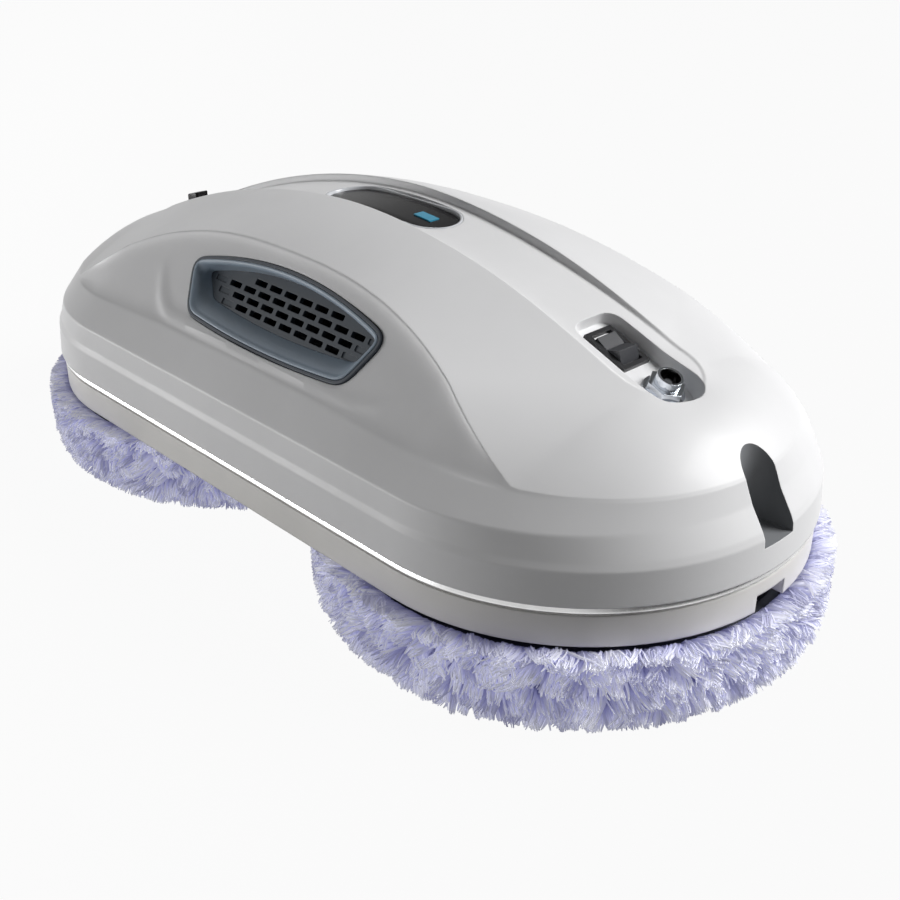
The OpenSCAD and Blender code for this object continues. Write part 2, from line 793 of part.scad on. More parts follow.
module switch_blade(s) {
    color([0.78, 0.7, 0.45])
    on_recess() translate([s * blade_place - blade_t / 2, -blade_w / 2, -switch_depth - blade_l])
        cube([blade_t, blade_w, blade_l]);
}

module power_socket() {
    color([0.74, 0.75, 0.76])
    on_recess() translate([socket_gap, 0, 0]) difference() {
        union() {
            translate([0, 0, -recess_floor - socket_body_h]) cylinder(r = socket_d / 2,
                h = recess_floor + socket_body_h + socket_up);
            translate([0, 0, -recess_floor - socket_body_h]) cylinder(r = socket_body_r, h = socket_body_h);
            translate([0, 0, -recess_floor - washer_t]) cylinder(r = socket_flange_r, h = washer_t);
        }
        translate([0, 0, -socket_floor - insulator_t]) cylinder(r = socket_bore / 2, h = 2 * crown_h);
    }
}

module socket_nut() {
    color([0.72, 0.73, 0.75])
    on_recess() translate([socket_gap, 0, washer_t]) difference() {
        cylinder(d = nut_flats / cos(30), h = nut_h, $fn = 6);
        translate([0, 0, -over]) cylinder(r = socket_d / 2 + fit / 3, h = nut_h + 2 * over);
    }
}

module socket_washer() {
    color([0.66, 0.67, 0.69])
    on_recess() translate([socket_gap, 0, 0]) difference() {
        cylinder(r = washer_r, h = washer_t);
        translate([0, 0, -over]) cylinder(r = socket_d / 2 + fit / 3, h = washer_t + 2 * over);
    }
}

module socket_insulator() {
    color([0.05, 0.05, 0.05])
    on_recess() translate([socket_gap, 0, -socket_floor - insulator_t]) difference() {
        cylinder(r = socket_bore / 2, h = insulator_t);
        translate([0, 0, -over]) cylinder(r = pin_r, h = insulator_t + 2 * over);
    }
}

module socket_pin() {
    color([0.8, 0.78, 0.7])
    on_recess() translate([socket_gap, 0, -socket_floor - insulator_t])
        cylinder(r = pin_r, h = socket_up + socket_floor + insulator_t - pin_sink);
}

module wheel() {
    color([0.3, 0.31, 0.33])
    translate([axle_x, 0, 0]) rotate_extrude($fn = 128)
        polygon([[hub_bore / 2, wheel_z], [wheel_r, wheel_z], [wheel_r, wheel_top + wheel_lip_h],
            [wheel_r - wheel_lip, wheel_top + wheel_lip_h], [wheel_r - wheel_lip, wheel_top],
            [hub_r, wheel_top], [hub_r, gear_z], [hub_r - hub_step, gear_z], [hub_r - hub_step, hub_top],
            [hub_bore / 2, hub_top]]);
}

module hook_ring() {
    color([0.12, 0.12, 0.13])
    translate([axle_x, 0, pad_pile]) difference() {
        cylinder(r = wheel_r - wheel_lip, h = hook_t, $fn = 96);
        translate([0, 0, -over]) cylinder(r = hook_inner, h = hook_t + 2 * over, $fn = 96);
    }
}

// An arc of an outline about (cx, cz), from direction a0 to direction a1
function bend(cx, cz, r, a0, a1) =
    [for (i = [0:bend_steps]) let(a = a0 + (a1 - a0) * i / bend_steps) [cx + r * cos(a), cz + r * sin(a)]];

module pad() {
    inner = pad_hole / 2;
    slot = wheel_r + 2 * fit;
    color([0.72, 0.73, 0.9])
    translate([axle_x, 0, 0]) rotate_extrude($fn = 96)
        polygon(concat([[inner, pad_pile]], bend(inner + pad_edge, pad_edge, pad_edge, 180, 270),
            bend(pad_r - pad_round, pad_round, pad_round, -90, 0),
            bend(pad_r - pad_round, pad_rim - pad_round, pad_round, 0, 90),
            bend(slot + pad_edge, pad_rim - pad_edge, pad_edge, 90, 180), [[slot, pad_pile]]));
}

// Involute gear outline with n teeth of module m, a tooth's middle on the X axis
function inv(r, base) = r <= base ? 0 : let(t = sqrt(pow(r / base, 2) - 1)) t * 180 / PI - atan(t);
function gear_points(m, n) =
    let(pitch_r = m * n / 2, base = pitch_r * cos(pressure), tip = pitch_r + addendum_share * m,
        root = pitch_r - dedendum_share * m, start = max(base, root),
        half = (90 / n) - (backlash / 2 / pitch_r) * 90 / PI + inv(pitch_r, base))
    let(rise = [for (k = [0:flank_steps]) start + (tip - start) * k / flank_steps],
        right = concat([[root, inv(start, base) - half]], [for (r = rise) [r, inv(r, base) - half]]),
        left = [for (k = [flank_steps + 1:-1:0]) [right[k][0], -right[k][1]]])
    [for (i = [0:n - 1]) for (p = concat(right, left))
        let(a = 360 * i / n + p[1]) [p[0] * cos(a), p[0] * sin(a)]];

module wheel_gear() {
    color([0.85, 0.83, 0.74])
    translate([axle_x, 0, gear_z]) rotate([0, 0, compound_angle]) difference() {
        linear_extrude(gear_t) polygon(gear_points(slow_module, wheel_teeth));
        translate([0, 0, -over]) cylinder(r = hub_r - hub_step, h = gear_t + 2 * over);
    }
}

module hub_clip() {
    color([0.6, 0.61, 0.63])
    translate([axle_x, 0, gear_z + gear_t]) difference() {
        cylinder(r = hub_r - hub_step + clip_wall, h = clip_h);
        translate([0, 0, -over]) cylinder(r = hub_r - hub_step, h = clip_h + 2 * over);
    }
}

module hub_bush() {
    color([0.76, 0.62, 0.38])
    translate([axle_x, 0, body_lift]) difference() {
        union() {
            cylinder(r = hub_r + bush_wall, h = base_floor);
            translate([0, 0, base_floor]) cylinder(r = hub_r + bush_wall + bush_flange, h = bush_flange_t);
        }
        translate([0, 0, -over]) cylinder(r = hub_r + running_fit, h = base_floor + bush_flange_t + 2 * over);
    }
}

module compound_gear() {
    color([0.82, 0.8, 0.72])
    translate([compound_at[0], compound_at[1], gear_z]) difference() {
        union() {
            rotate([0, 0, compound_angle + 180 + 180 / small_teeth])
                linear_extrude(large_z - gear_z) polygon(gear_points(slow_module, small_teeth));
            translate([0, 0, large_z - gear_z]) rotate([0, 0, 180])
                linear_extrude(large_t) polygon(gear_points(fast_module, large_teeth));
        }
        translate([0, 0, -over]) cylinder(r = gear_pin_r + running_fit, h = plate_z);
    }
}

module gear_pin() {
    color([0.7, 0.71, 0.72])
    translate([compound_at[0], compound_at[1], body_lift + base_floor / 2])
        cylinder(r = gear_pin_r, h = plate_z + plate_t - body_lift - base_floor / 2);
}

module gear_plate() {
    color([0.35, 0.36, 0.38])
    difference() {
        union() {
            translate([0, 0, plate_z]) linear_extrude(plate_t) hull() {
                for (p = leg_places) translate(p) circle(leg_r + plate_edge, $fn = 32);
                translate(compound_at) circle(leg_r + 2 * plate_edge, $fn = 32);
            }
            for (p = leg_places) translate([p[0], p[1], floor_z])
                cylinder(r = leg_r, h = plate_z - floor_z + plate_t / 2);
        }
        translate([compound_at[0], compound_at[1], plate_z - over])
            cylinder(r = gear_pin_r, h = plate_t + 2 * over);
        translate([pinion_at[0], pinion_at[1], plate_z - over])
            cylinder(r = 3 * shaft_r, h = plate_t + 2 * over);
    }
}

module drive_motor() {
    color([0.68, 0.69, 0.7])
    translate([pinion_at[0], pinion_at[1], motor_z]) difference() {
        cylinder(d = motor_d, h = motor_h);
        translate([0, 0, -over]) cylinder(r = shaft_r + running_fit, h = shaft_l + over + air_gap);
    }
}

module motor_pinion() {
    color([0.75, 0.65, 0.4])
    translate([pinion_at[0], pinion_at[1], large_z]) {
        rotate([0, 0, 180 / pinion_teeth])
            linear_extrude(large_t) polygon(gear_points(fast_module, pinion_teeth));
        cylinder(r = shaft_r, h = motor_z - large_z + shaft_l);
    }
}

module air_channel() {
    w = air_w / 2;
    color([0.25, 0.26, 0.28])
    difference() {
        union() {
            translate([0, 0, channel_z]) stadium(w, air_h - channel_wall);
            translate([0, 0, channel_z]) cylinder(r = drum_r, h = air_h - channel_wall);
            for (s = [-1, 1]) translate([s * channel_leg_x, 0, floor_z])
                cylinder(r = leg_r, h = channel_z - floor_z + channel_wall / 2);
        }
        translate([0, 0, channel_z + channel_wall]) stadium(w - channel_wall, air_h);
        for (s = [-1, 1]) translate([s * axle_x, 0, channel_z - over])
            cylinder(r = hub_bore / 2, h = channel_wall + 2 * over);
        translate([0, 0, channel_z + channel_wall])
            cylinder(r = drum_r - channel_wall, h = air_h);
    }
}

module channel_lid() {
    color([0.27, 0.28, 0.3])
    translate([0, 0, fan_z - channel_wall]) difference() {
        union() {
            stadium(air_w / 2, channel_wall);
            cylinder(r = drum_r, h = channel_wall);
        }
        translate([0, 0, -over]) cylinder(r = inlet_r, h = channel_wall + 2 * over);
    }
}

module fan_housing() {
    color([0.3, 0.31, 0.33])
    translate([0, 0, fan_z]) difference() {
        cylinder(r = fan_r, h = fan_top - fan_z, $fn = 96);
        translate([0, 0, fan_wall]) cylinder(r = fan_r - fan_wall, h = fan_top, $fn = 96);
        translate([0, 0, -over]) cylinder(r = inlet_r, h = fan_top);
        translate([-window_fan_w / 2, -fan_r - over, fan_wall + air_gap])
            cube([window_fan_w, 2 * fan_r + 2 * over, blade_h]);
    }
}

module fan_lid() {
    color([0.26, 0.27, 0.29])
    translate([0, 0, fan_top]) difference() {
        cylinder(r = fan_r, h = lid_t, $fn = 96);
        translate([0, 0, -over]) cylinder(r = 2 * fan_shaft_r, h = lid_t + 2 * over);
    }
}

module impeller() {
    color([0.5, 0.52, 0.55])
    translate([0, 0, blade_z]) difference() {
        union() {
            translate([0, 0, blade_h]) cylinder(r = impeller_r, h = back_t, $fn = 96);
            cylinder(r = impeller_hub_r, h = blade_h + back_t);
            for (i = [0:blades - 1]) rotate([0, 0, 360 * i / blades])
                translate([impeller_r / 2, 0, 0]) rotate([0, 0, impeller_blade_angle])
                    translate([-impeller_r / 4, -impeller_blade_t / 2, 0])
                        cube([impeller_r * impeller_blade_share, impeller_blade_t, blade_h + back_t / 2]);
        }
        translate([0, 0, -over]) cylinder(r = fan_shaft_r, h = blade_h + back_t + 2 * over);
    }
}

module fan_shaft() {
    color([0.72, 0.73, 0.74])
    translate([0, 0, blade_z]) cylinder(r = fan_shaft_r, h = fan_motor_z + bearing_l - blade_z);
}

module fan_motor() {
    color([0.62, 0.63, 0.65])
    translate([0, 0, fan_motor_z]) difference() {
        cylinder(d = fan_motor_d, h = fan_motor_h);
        translate([0, 0, -over]) cylinder(r = fan_shaft_r + running_fit, h = bearing_l + over + air_gap);
    }
}

// A deck on the base tray's pegs, from x0 on, l long and w wide, round about the axle
module deck(x0, l, w) {
    difference() {
        linear_extrude(deck_t) intersection() {
            translate([x0, -w / 2]) square([l, w]);
            translate([axle_x, 0]) circle(deck_round_r);
        }
        for (p = deck_posts) for (m = [-1, 1]) translate([p[0], m * p[1], -over])
            cylinder(r = peg_r + running_fit, h = deck_t + 2 * over);
    }
}

module circuit_board() {
    color([0.1, 0.4, 0.22])
    translate([0, 0, deck_z]) deck(board_x, board_l, board_w);
}

module board_chip() {
    color([0.1, 0.1, 0.11])
    translate([board_x + board_l / 3, -chip_l / 2, deck_z + deck_t]) cube([chip_l, chip_l, chip_t]);
}

module capacitor(s) {
    color([0.15, 0.16, 0.3])
    translate([board_x + board_l * 0.7, s * board_w / 5, deck_z + deck_t])
        cylinder(r = capacitor_r, h = capacitor_h);
}

module battery_tray() {
    color([0.33, 0.34, 0.36])
    at_end(-1) translate([0, 0, deck_z]) {
        deck(tray_x, tray_l, board_w);
        for (s = [-1, 1])
            translate([tray_x, s * (cell_l / 2 + tray_stop / 2 + fit) - tray_stop / 2, deck_t / 2])
                cube([cell_count * (cell_d + cell_gap) + tray_stop, tray_stop, cell_d / 2]);
    }
}

module battery_cell(i) {
    color([0.2, 0.45, 0.65])
    at_end(-1) translate([tray_x + tray_stop + (i - 1) * (cell_d + cell_gap), 0, deck_z + deck_t])
        translate([cell_d / 2, 0, cell_d / 2]) rotate([90, 0, 0])
            cylinder(d = cell_d, h = cell_l, center = true);
}

module shell_screws() {
    color([0.6, 0.61, 0.62])
    for (p = post_places) translate([p[0], p[1], body_lift + fit]) {
        cylinder(r = screw_head_r, h = screw_head_h - fit);
        cylinder(r = screw_r, h = post_top - body_lift - fit + screw_bite - screw_end);
    }
}

top_shell();
base_tray();
seam_trim();
vent_bezel();  // vent_bezel_right
mirror([0, 1, 0]) vent_bezel();  // vent_bezel_left
vent_grille();  // vent_grille_right
mirror([0, 1, 0]) vent_grille();  // vent_grille_left
status_window();
status_light();
remote_lens();
switch_housing();
rocker();
switch_blade(-1);  // switch_blade_1
switch_blade(1);  // switch_blade_2
power_socket();
socket_nut();
socket_washer();
socket_insulator();
socket_pin();
at_end(1) wheel();  // wheel_cord
at_end(-1) wheel();  // wheel_far
at_end(1) hook_ring();  // hook_ring_cord
at_end(-1) hook_ring();  // hook_ring_far
at_end(1) pad();  // pad_cord
at_end(-1) pad();  // pad_far
at_end(1) wheel_gear();  // wheel_gear_cord
at_end(-1) wheel_gear();  // wheel_gear_far
at_end(1) hub_clip();  // hub_clip_cord
at_end(-1) hub_clip();  // hub_clip_far
at_end(1) hub_bush();  // hub_bush_cord
at_end(-1) hub_bush();  // hub_bush_far
at_end(1) compound_gear();  // compound_gear_cord
at_end(-1) compound_gear();  // compound_gear_far
at_end(1) gear_pin();  // gear_pin_cord
at_end(-1) gear_pin();  // gear_pin_far
at_end(1) gear_plate();  // gear_plate_cord
at_end(-1) gear_plate();  // gear_plate_far
at_end(1) drive_motor();  // drive_motor_cord
at_end(-1) drive_motor();  // drive_motor_far
at_end(1) motor_pinion();  // motor_pinion_cord
at_end(-1) motor_pinion();  // motor_pinion_far
air_channel();
channel_lid();
fan_housing();
fan_lid();
impeller();
fan_shaft();
fan_motor();
circuit_board();
board_chip();
capacitor(-1);  // capacitor_1
capacitor(1);  // capacitor_2
battery_tray();
battery_cell(1);  // battery_cell_1
battery_cell(2);  // battery_cell_2
battery_cell(3);  // battery_cell_3
battery_cell(4);  // battery_cell_4
shell_screws();
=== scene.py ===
import bmesh
import bpy
import numpy as np
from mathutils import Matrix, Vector


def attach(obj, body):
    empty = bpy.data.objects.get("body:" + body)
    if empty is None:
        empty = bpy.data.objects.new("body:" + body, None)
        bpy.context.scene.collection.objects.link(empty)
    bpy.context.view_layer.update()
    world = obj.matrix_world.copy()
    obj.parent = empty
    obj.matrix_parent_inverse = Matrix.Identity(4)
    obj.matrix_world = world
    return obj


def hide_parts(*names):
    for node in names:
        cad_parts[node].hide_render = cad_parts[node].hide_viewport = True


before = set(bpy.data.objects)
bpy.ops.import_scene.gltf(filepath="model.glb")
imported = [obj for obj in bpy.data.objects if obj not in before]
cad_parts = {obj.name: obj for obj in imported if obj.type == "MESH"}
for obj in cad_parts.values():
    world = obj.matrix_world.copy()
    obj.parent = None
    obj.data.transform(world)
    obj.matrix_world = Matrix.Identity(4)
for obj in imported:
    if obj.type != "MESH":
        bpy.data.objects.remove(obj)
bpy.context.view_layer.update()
print("frame loaded:", len(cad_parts), "nodes")

mm = 0.001  # every size below is in millimetres, and each piece is scaled once, when it is made
fullTurn = 2 * np.pi


# Shader sockets as numbers: a Wire is one output socket, and an expression on it adds Math nodes.
class Wire:
    def __init__(self, tree, socket=None):
        self.tree, self.socket = tree, socket

    def fill(self, socket, value):
        # links a Wire to an input, or sets the input to a number, a vector or a colour
        if isinstance(value, Wire):
            self.tree.links.new(value.socket, socket)
        else:
            socket.default_value = (*value, 1) if socket.type == "RGBA" else value

    def node(self, kind, settings=None, values=None, out=0):
        made = self.tree.nodes.new(kind)
        for key, value in (settings or {}).items():
            if key == "stops":
                ramp = made.color_ramp
                while len(ramp.elements) < len(value):
                    ramp.elements.new(1)
                for stop, (place, colour) in zip(ramp.elements, value):
                    stop.position, stop.color = place, (*colour, 1)
            else:
                setattr(made, key, value)
        for key, value in (values or {}).items():
            self.fill(made.inputs[key], value)
        return Wire(self.tree, made.outputs[out])

    def maths(self, operation, *values):
        return self.node("ShaderNodeMath", {"operation": operation}, dict(enumerate(values)))

    def vector(self, operation, values, out=0):
        return self.node("ShaderNodeVectorMath", {"operation": operation}, values, out)

    def __add__(self, other):
        return self.maths("ADD", self, other)

    def __sub__(self, other):
        return self.maths("SUBTRACT", self, other)

    def __rsub__(self, other):
        return self.maths("SUBTRACT", other, self)

    def __mul__(self, other):
        return self.maths("MULTIPLY", self, other)

    def smooth(self, low, high):
        return self.node("ShaderNodeMapRange", {"interpolation_type": "SMOOTHSTEP"},
                         {"Value": self, "From Min": low, "From Max": high})

    def noise(self, scale, detail=3, stretch=(1, 1, 1)):
        place = self.node("ShaderNodeTexCoord", out="Object")
        placed = self.node("ShaderNodeMapping", None, {"Vector": place, "Scale": stretch})
        return self.node("ShaderNodeTexNoise", None, {"Vector": placed, "Scale": scale, "Detail": detail})

    def mix(self, share, first, second):
        return self.node("ShaderNodeMix", {"data_type": "RGBA"}, {0: share, 6: first, 7: second}, 2)

    def rays(self):
        return [self.node("ShaderNodeLightPath", out=ray) for ray in ("Is Camera Ray", "Is Glossy Ray")]

    def split(self, vector):
        # the first two numbers of a vector
        return [self.node("ShaderNodeSeparateXYZ", None, {"Vector": vector}, k) for k in (0, 1)]

    def towards(self, coordinates, direction, fade):
        # 0 to 1 along a level direction, over the two ends of the fade
        x, y = self.split(self.node("ShaderNodeTexCoord", out=coordinates))
        return (x * direction[0] + y * direction[1]).smooth(*fade)


def srgb(red, green, blue):
    # the linear colour of a display colour
    share = np.array([red, green, blue]) / 255
    return tuple(float(v) for v in np.where(share < 0.04045, share / 12.92, ((share + 0.055) / 1.055) ** 2.4))


def startMaterial(name):
    made = bpy.data.materials.new(name)
    made.use_nodes = True
    return made, Wire(made.node_tree), made.node_tree.nodes["Principled BSDF"]


def feed(wire, shader, **values):
    names = {"colour": "Base Color", "rough": "Roughness", "metal": "Metallic", "coat": "Coat Weight",
             "coatRough": "Coat Roughness", "sheen": "Sheen Weight", "sheenRough": "Sheen Roughness",
             "glow": "Emission Color", "glowPower": "Emission Strength", "normal": "Normal",
             "specular": "Specular IOR Level"}
    for key, value in values.items():
        wire.fill(shader.inputs[names[key]], value)


# Plain finishes: a display colour that drifts a little, a roughness, a fine surface and soft edges
finishes = {
    "shellPlastic": dict(colour=(232, 232, 233), rough=0.44, coat=0.06, drift=0.02, grain=900, depth=0.012, edge=0.5),
    "trayPlastic": dict(colour=(236, 234, 230), rough=0.42, coat=0.06, drift=0.03, grain=900, depth=0.015, edge=0.9),
    "ventGrey": dict(colour=(152, 167, 182), rough=0.4, coat=0.1, drift=0.05, edge=0.3),
    "grilleGrey": dict(colour=(44, 53, 62), rough=0.5, coat=0.05, drift=0.08, depth=0.04, edge=0.3),
    # the notch is the shell's white plastic; this grey is painted shade in its depth
    "notchPaintedShade": dict(colour=(128, 130, 133), rough=0.5, drift=0.04, grain=900, edge=0.1),
    # the dark ring in the gap round each vent rim: its colour is painted shade of the gap
    "gapShadeDark": dict(colour=(52, 60, 70), rough=0.45, coat=0.05, drift=0.08, depth=0.03),
    "lensBlack": dict(colour=(10, 9, 11), rough=0.25, grain=300, depth=0.004, edge=0.3, specular=0.12),
    "rimSilver": dict(colour=(206, 208, 212), rough=0.26, coat=0.3, drift=0.03, depth=0.01),
    "switchBlack": dict(colour=(30, 30, 33), rough=0.42, coat=0.1, drift=0.12, grain=1200, depth=0.05, edge=0.25),
    "rockerGrey": dict(colour=(58, 59, 63), rough=0.35, coat=0.2, grain=1200, depth=0.04),
    "wheelGrey": dict(colour=(72, 74, 79), rough=0.55, grain=500, depth=0.06, edge=0.6),
    "ductGrey": dict(colour=(58, 61, 66), rough=0.6, grain=500, depth=0.06, edge=0.5),
    "gearIvory": dict(colour=(222, 214, 192), rough=0.45, coat=0.1, drift=0.06, grain=600, depth=0.03),
    "boardGreen": dict(colour=(22, 92, 58), rough=0.35, coat=0.5, drift=0.2, grain=250, depth=0.05, edge=0.1),
    "chipBlack": dict(colour=(28, 28, 30), rough=0.6, drift=0.15, grain=900, depth=0.05, edge=0.1),
    "capBlue": dict(colour=(34, 40, 88), rough=0.3, coat=0.5, grain=400, edge=0.4),
    "cellBlue": dict(colour=(42, 104, 150), rough=0.3, coat=0.5, drift=0.08, grain=400, edge=0.6),
    "hookBlack": dict(colour=(30, 30, 33), rough=0.95, drift=0.3, grain=1800, depth=0.5),
}
# Metal finishes: the same, with fine lines drawn out along one axis
metals = {
    "seamSilver": dict(colour=(232, 232, 232), rough=0.22, lines=(6, 6, 0.2), grain=300, depth=0.01),
    "nickel": dict(colour=(216, 220, 226), rough=0.16, lines=(3, 3, 1), grain=900, depth=0.02),
    "steel": dict(colour=(176, 178, 180), rough=0.34, lines=(1, 8, 1), grain=500, depth=0.03),
    "canSteel": dict(colour=(160, 162, 166), rough=0.38, lines=(6, 6, 0.3), grain=400, depth=0.03),
    "brass": dict(colour=(198, 164, 96), rough=0.3, lines=(1, 1, 4), grain=500, depth=0.02),
}
# What each kind has in common
plainLook = dict(cloud=28, cloudRange=(0.35, 0.75), deepen=2.2, fineness=4, bump=4, roughDrift=0.12, coatRough=0.12)
metalLook = dict(cloud=60, cloudRange=(0.4, 0.8), deep=0.72, bump=6, roughDrift=0.2, edge=0.25)
bumpDepth = 0.05


def softNormal(wire, edge, height, strength):
    # edges rounded by a radius, under a fine bump
    rounded = wire.node("ShaderNodeBevel", {"samples": 4}, {"Radius": edge * mm})
    return wire.node("ShaderNodeBump", None, {"Strength": min(1, strength), "Distance": bumpDepth * mm,
                                              "Height": height, "Normal": rounded})


def plainFinish(name, colour, rough, coat=0, drift=0.1, grain=800, depth=0.02, edge=0.2, specular=0.5):
    made, wire, shader = startMaterial(name)
    colour = srgb(*colour)
    cloud = wire.noise(plainLook["cloud"], 4)
    fine = wire.noise(grain * plainLook["fineness"], 2)
    deep = tuple(v * (1 - plainLook["deepen"] * drift) for v in colour)
    feed(wire, shader, colour=wire.mix(cloud.smooth(*plainLook["cloudRange"]), colour, deep),
         rough=(cloud - 0.5) * plainLook["roughDrift"] + rough, coat=coat, coatRough=plainLook["coatRough"],
         specular=specular, normal=softNormal(wire, edge, fine, depth * plainLook["bump"]))
    return made


def metalFinish(name, colour, rough, lines, grain, depth):
    made, wire, shader = startMaterial(name)
    colour = srgb(*colour)
    drawn = wire.noise(grain, 3, lines)
    cloud = wire.noise(metalLook["cloud"], 3)
    deep = tuple(v * metalLook["deep"] for v in colour)
    feed(wire, shader, colour=wire.mix(cloud.smooth(*metalLook["cloudRange"]), colour, deep), metal=1.0,
         rough=(drawn - 0.5) * metalLook["roughDrift"] + rough,
         normal=softNormal(wire, metalLook["edge"], drawn, depth * metalLook["bump"]))
    return made


# The socket's barrel: the foot of its axis in metres, as Object coordinates are, and its bore in millimetres
barrel = dict(foot=(0.10298, 0, 0.06901), axis=(0.36975, 0, 0.92913), boreR=2.8, boreEdgeR=2.9,
              dark=(0.006, 0.006, 0.007))


def makeBarrelNickel():
    # the nickel finish, dark within a distance of the barrel's tilted axis
    made = metalFinish("barrelNickel", **metals["nickel"])
    shader = made.node_tree.nodes["Principled BSDF"]
    wire = Wire(made.node_tree)
    place = wire.node("ShaderNodeTexCoord", out="Object")
    scaled = wire.vector("SCALE", {0: wire.vector("SUBTRACT", {0: place, 1: barrel["foot"]}), "Scale": 1 / mm})
    along = wire.vector("DOT_PRODUCT", {0: scaled, 1: barrel["axis"]}, "Value")
    whole = wire.vector("DOT_PRODUCT", {0: scaled, 1: scaled}, "Value")
    outside = (whole - along * along).smooth(barrel["boreR"] ** 2, barrel["boreEdgeR"] ** 2)
    colour = Wire(made.node_tree, shader.inputs["Base Color"].links[0].from_socket)
    feed(wire, shader, colour=wire.mix(outside, barrel["dark"], colour), metal=outside)
    return made


# The pile's colours from root to tip, and how far a lock's tint makes it paler or darker. The pale tips are the pile's
# own colour; the darker roots are partly painted shade between the locks, and the glow is painted light
pileLook = dict(stops=[(0.0, srgb(110, 111, 162)), (0.3, srgb(172, 173, 211)), (0.65, srgb(213, 214, 238)),
                       (1.0, srgb(238, 239, 250))],
                pale=srgb(247, 247, 252), paleFrom=0.4, paleShare=0.5, dark=srgb(146, 146, 186), darkFrom=0.5,
                darkShare=0.6, glow=0.2)


def makePileFabric():
    # the UV map's V runs from root to tip, and its U is each lock's tint
    made, wire, shader = startMaterial("pileFabric")
    tint, along = wire.split(wire.node("ShaderNodeUVMap", {"uv_map": "pile"}))
    ramp = wire.node("ShaderNodeValToRGB", {"stops": pileLook["stops"]}, {"Fac": along})
    paler = tint.smooth(pileLook["paleFrom"], 1.0) * pileLook["paleShare"]
    darker = (1 - tint).smooth(pileLook["darkFrom"], 1.0) * pileLook["darkShare"]
    colour = wire.mix(darker, wire.mix(paler, ramp, pileLook["pale"]), pileLook["dark"])
    # the pile glows with its own colour: painted light that stands in for the light real pile scatters
    feed(wire, shader, colour=colour, rough=0.9, specular=0.15, sheen=0.5, sheenRough=0.6, glow=colour,
         glowPower=pileLook["glow"])
    return made


def makeLightBlue():
    made, wire, shader = startMaterial("lightBlue")
    cloud = wire.noise(400, 2)
    feed(wire, shader, colour=wire.mix(cloud, srgb(20, 118, 150), srgb(34, 146, 178)), rough=0.3, coat=0.2,
         glow=srgb(20, 120, 150), glowPower=0.15)
    return made


materials = {name: plainFinish(name, **values) for name, values in finishes.items()}
materials.update({name: metalFinish(name, **values) for name, values in metals.items()})
materials.update(barrelNickel=makeBarrelNickel(), pileFabric=makePileFabric(), lightBlue=makeLightBlue())
print("materials made:", len(materials))


def addObject(name, data):
    made = bpy.data.objects.new(name, data)
    bpy.context.scene.collection.objects.link(made)
    return made


# Meshes from arrays
def addMesh(name, points, faces, material, body=None, slot=None, sharp=35, merge=False, replaces=()):
    mesh = bpy.data.meshes.new(name)
    mesh.from_pydata((np.asarray(points) * mm).tolist(), [], [list(f) for f in faces])
    piece = addObject(name, mesh)
    if merge:
        cleanMesh(mesh)
    finishMesh(mesh, material, sharp)
    if body:
        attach(piece, body)
        if replaces:
            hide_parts(*replaces)
    return piece


def cleanMesh(mesh, join=1e-7, foot=0):
    # gives the first foot points a face, joins doubled points and turns every face outwards
    work = bmesh.new()
    work.from_mesh(mesh)
    if foot:
        work.verts.ensure_lookup_table()
        work.faces.new([work.verts[k] for k in range(foot)])
    bmesh.ops.remove_doubles(work, verts=work.verts, dist=join)
    bmesh.ops.dissolve_degenerate(work, edges=work.edges, dist=join / 10)
    bmesh.ops.recalc_face_normals(work, faces=work.faces)
    work.to_mesh(mesh)
    work.free()


def finishMesh(mesh, material, sharp):
    mesh.materials.clear()
    mesh.materials.append(materials[material])
    mesh.shade_smooth()
    mesh.set_sharp_from_angle(angle=np.radians(sharp))


def gridFaces(rows, columns, wrapRows=False):
    # quads between the points of a grid whose columns go all the way round
    r, c = np.meshgrid(np.arange(rows if wrapRows else rows - 1), np.arange(columns), indexing="ij")
    below, right = (r + 1) % rows, (c + 1) % columns
    return np.stack([r * columns + c, r * columns + right, below * columns + right, below * columns + c],
                    -1).reshape(-1, 4)


def capped(grid):
    # the faces of a tube of rings with a flat cap on each end
    rows, columns = grid.shape[:2]
    first = list(range(columns))[::-1]
    last = list(range((rows - 1) * columns, rows * columns))
    return [*gridFaces(rows, columns).tolist(), first, last]


def addTube(name, rings, material, wrap=False, **rest):
    # a tube of rings, with flat caps on its ends or wrapped round to its first ring
    grid = np.asarray(rings, float)
    faces = gridFaces(*grid.shape[:2], wrapRows=True) if wrap else capped(grid)
    return addMesh(name, grid.reshape(-1, 3), faces, material, merge=True, **rest)


def cut(piece, tool):
    # takes a closed solid out of a piece
    change = piece.modifiers.new("cut", "BOOLEAN")
    change.operation, change.object, change.solver = "DIFFERENCE", tool, "MANIFOLD"
    bpy.context.view_layer.update()
    held = piece.evaluated_get(bpy.context.evaluated_depsgraph_get())
    made = bpy.data.meshes.new_from_object(held)
    piece.modifiers.remove(change)
    old = piece.data
    piece.data = made
    bpy.data.meshes.remove(old)
    bpy.data.objects.remove(tool)


def tubeCutter(rings):
    return addTube("cutter", rings, "shellPlastic")


def arc(centre, radius, start, end, steps=16):
    turn = np.radians(np.linspace(start, end, steps + 1))
    return np.stack([centre[0] + radius * np.cos(turn), centre[1] + radius * np.sin(turn)], -1)


def roundedBox(halfX, halfY, radius, steps, middle=(0, 0)):
    # four round corners, whose centres stand halfX and halfY from the middle
    return np.concatenate([arc((middle[0] + i * halfX, middle[1] + j * halfY), radius, start, start + 90, steps)
                           for i, j, start in ((1, 1, 0), (-1, 1, 90), (-1, -1, 180), (1, -1, 270))])


def raised(outline, z):
    # an outline in a plane as points in space, all at one height or each at its own
    return np.column_stack([outline, np.broadcast_to(z, len(outline))])


def travelled(line):
    # how far along a line each of its points is
    return np.concatenate([[0], np.cumsum(np.linalg.norm(np.diff(line, axis=0), axis=1))])


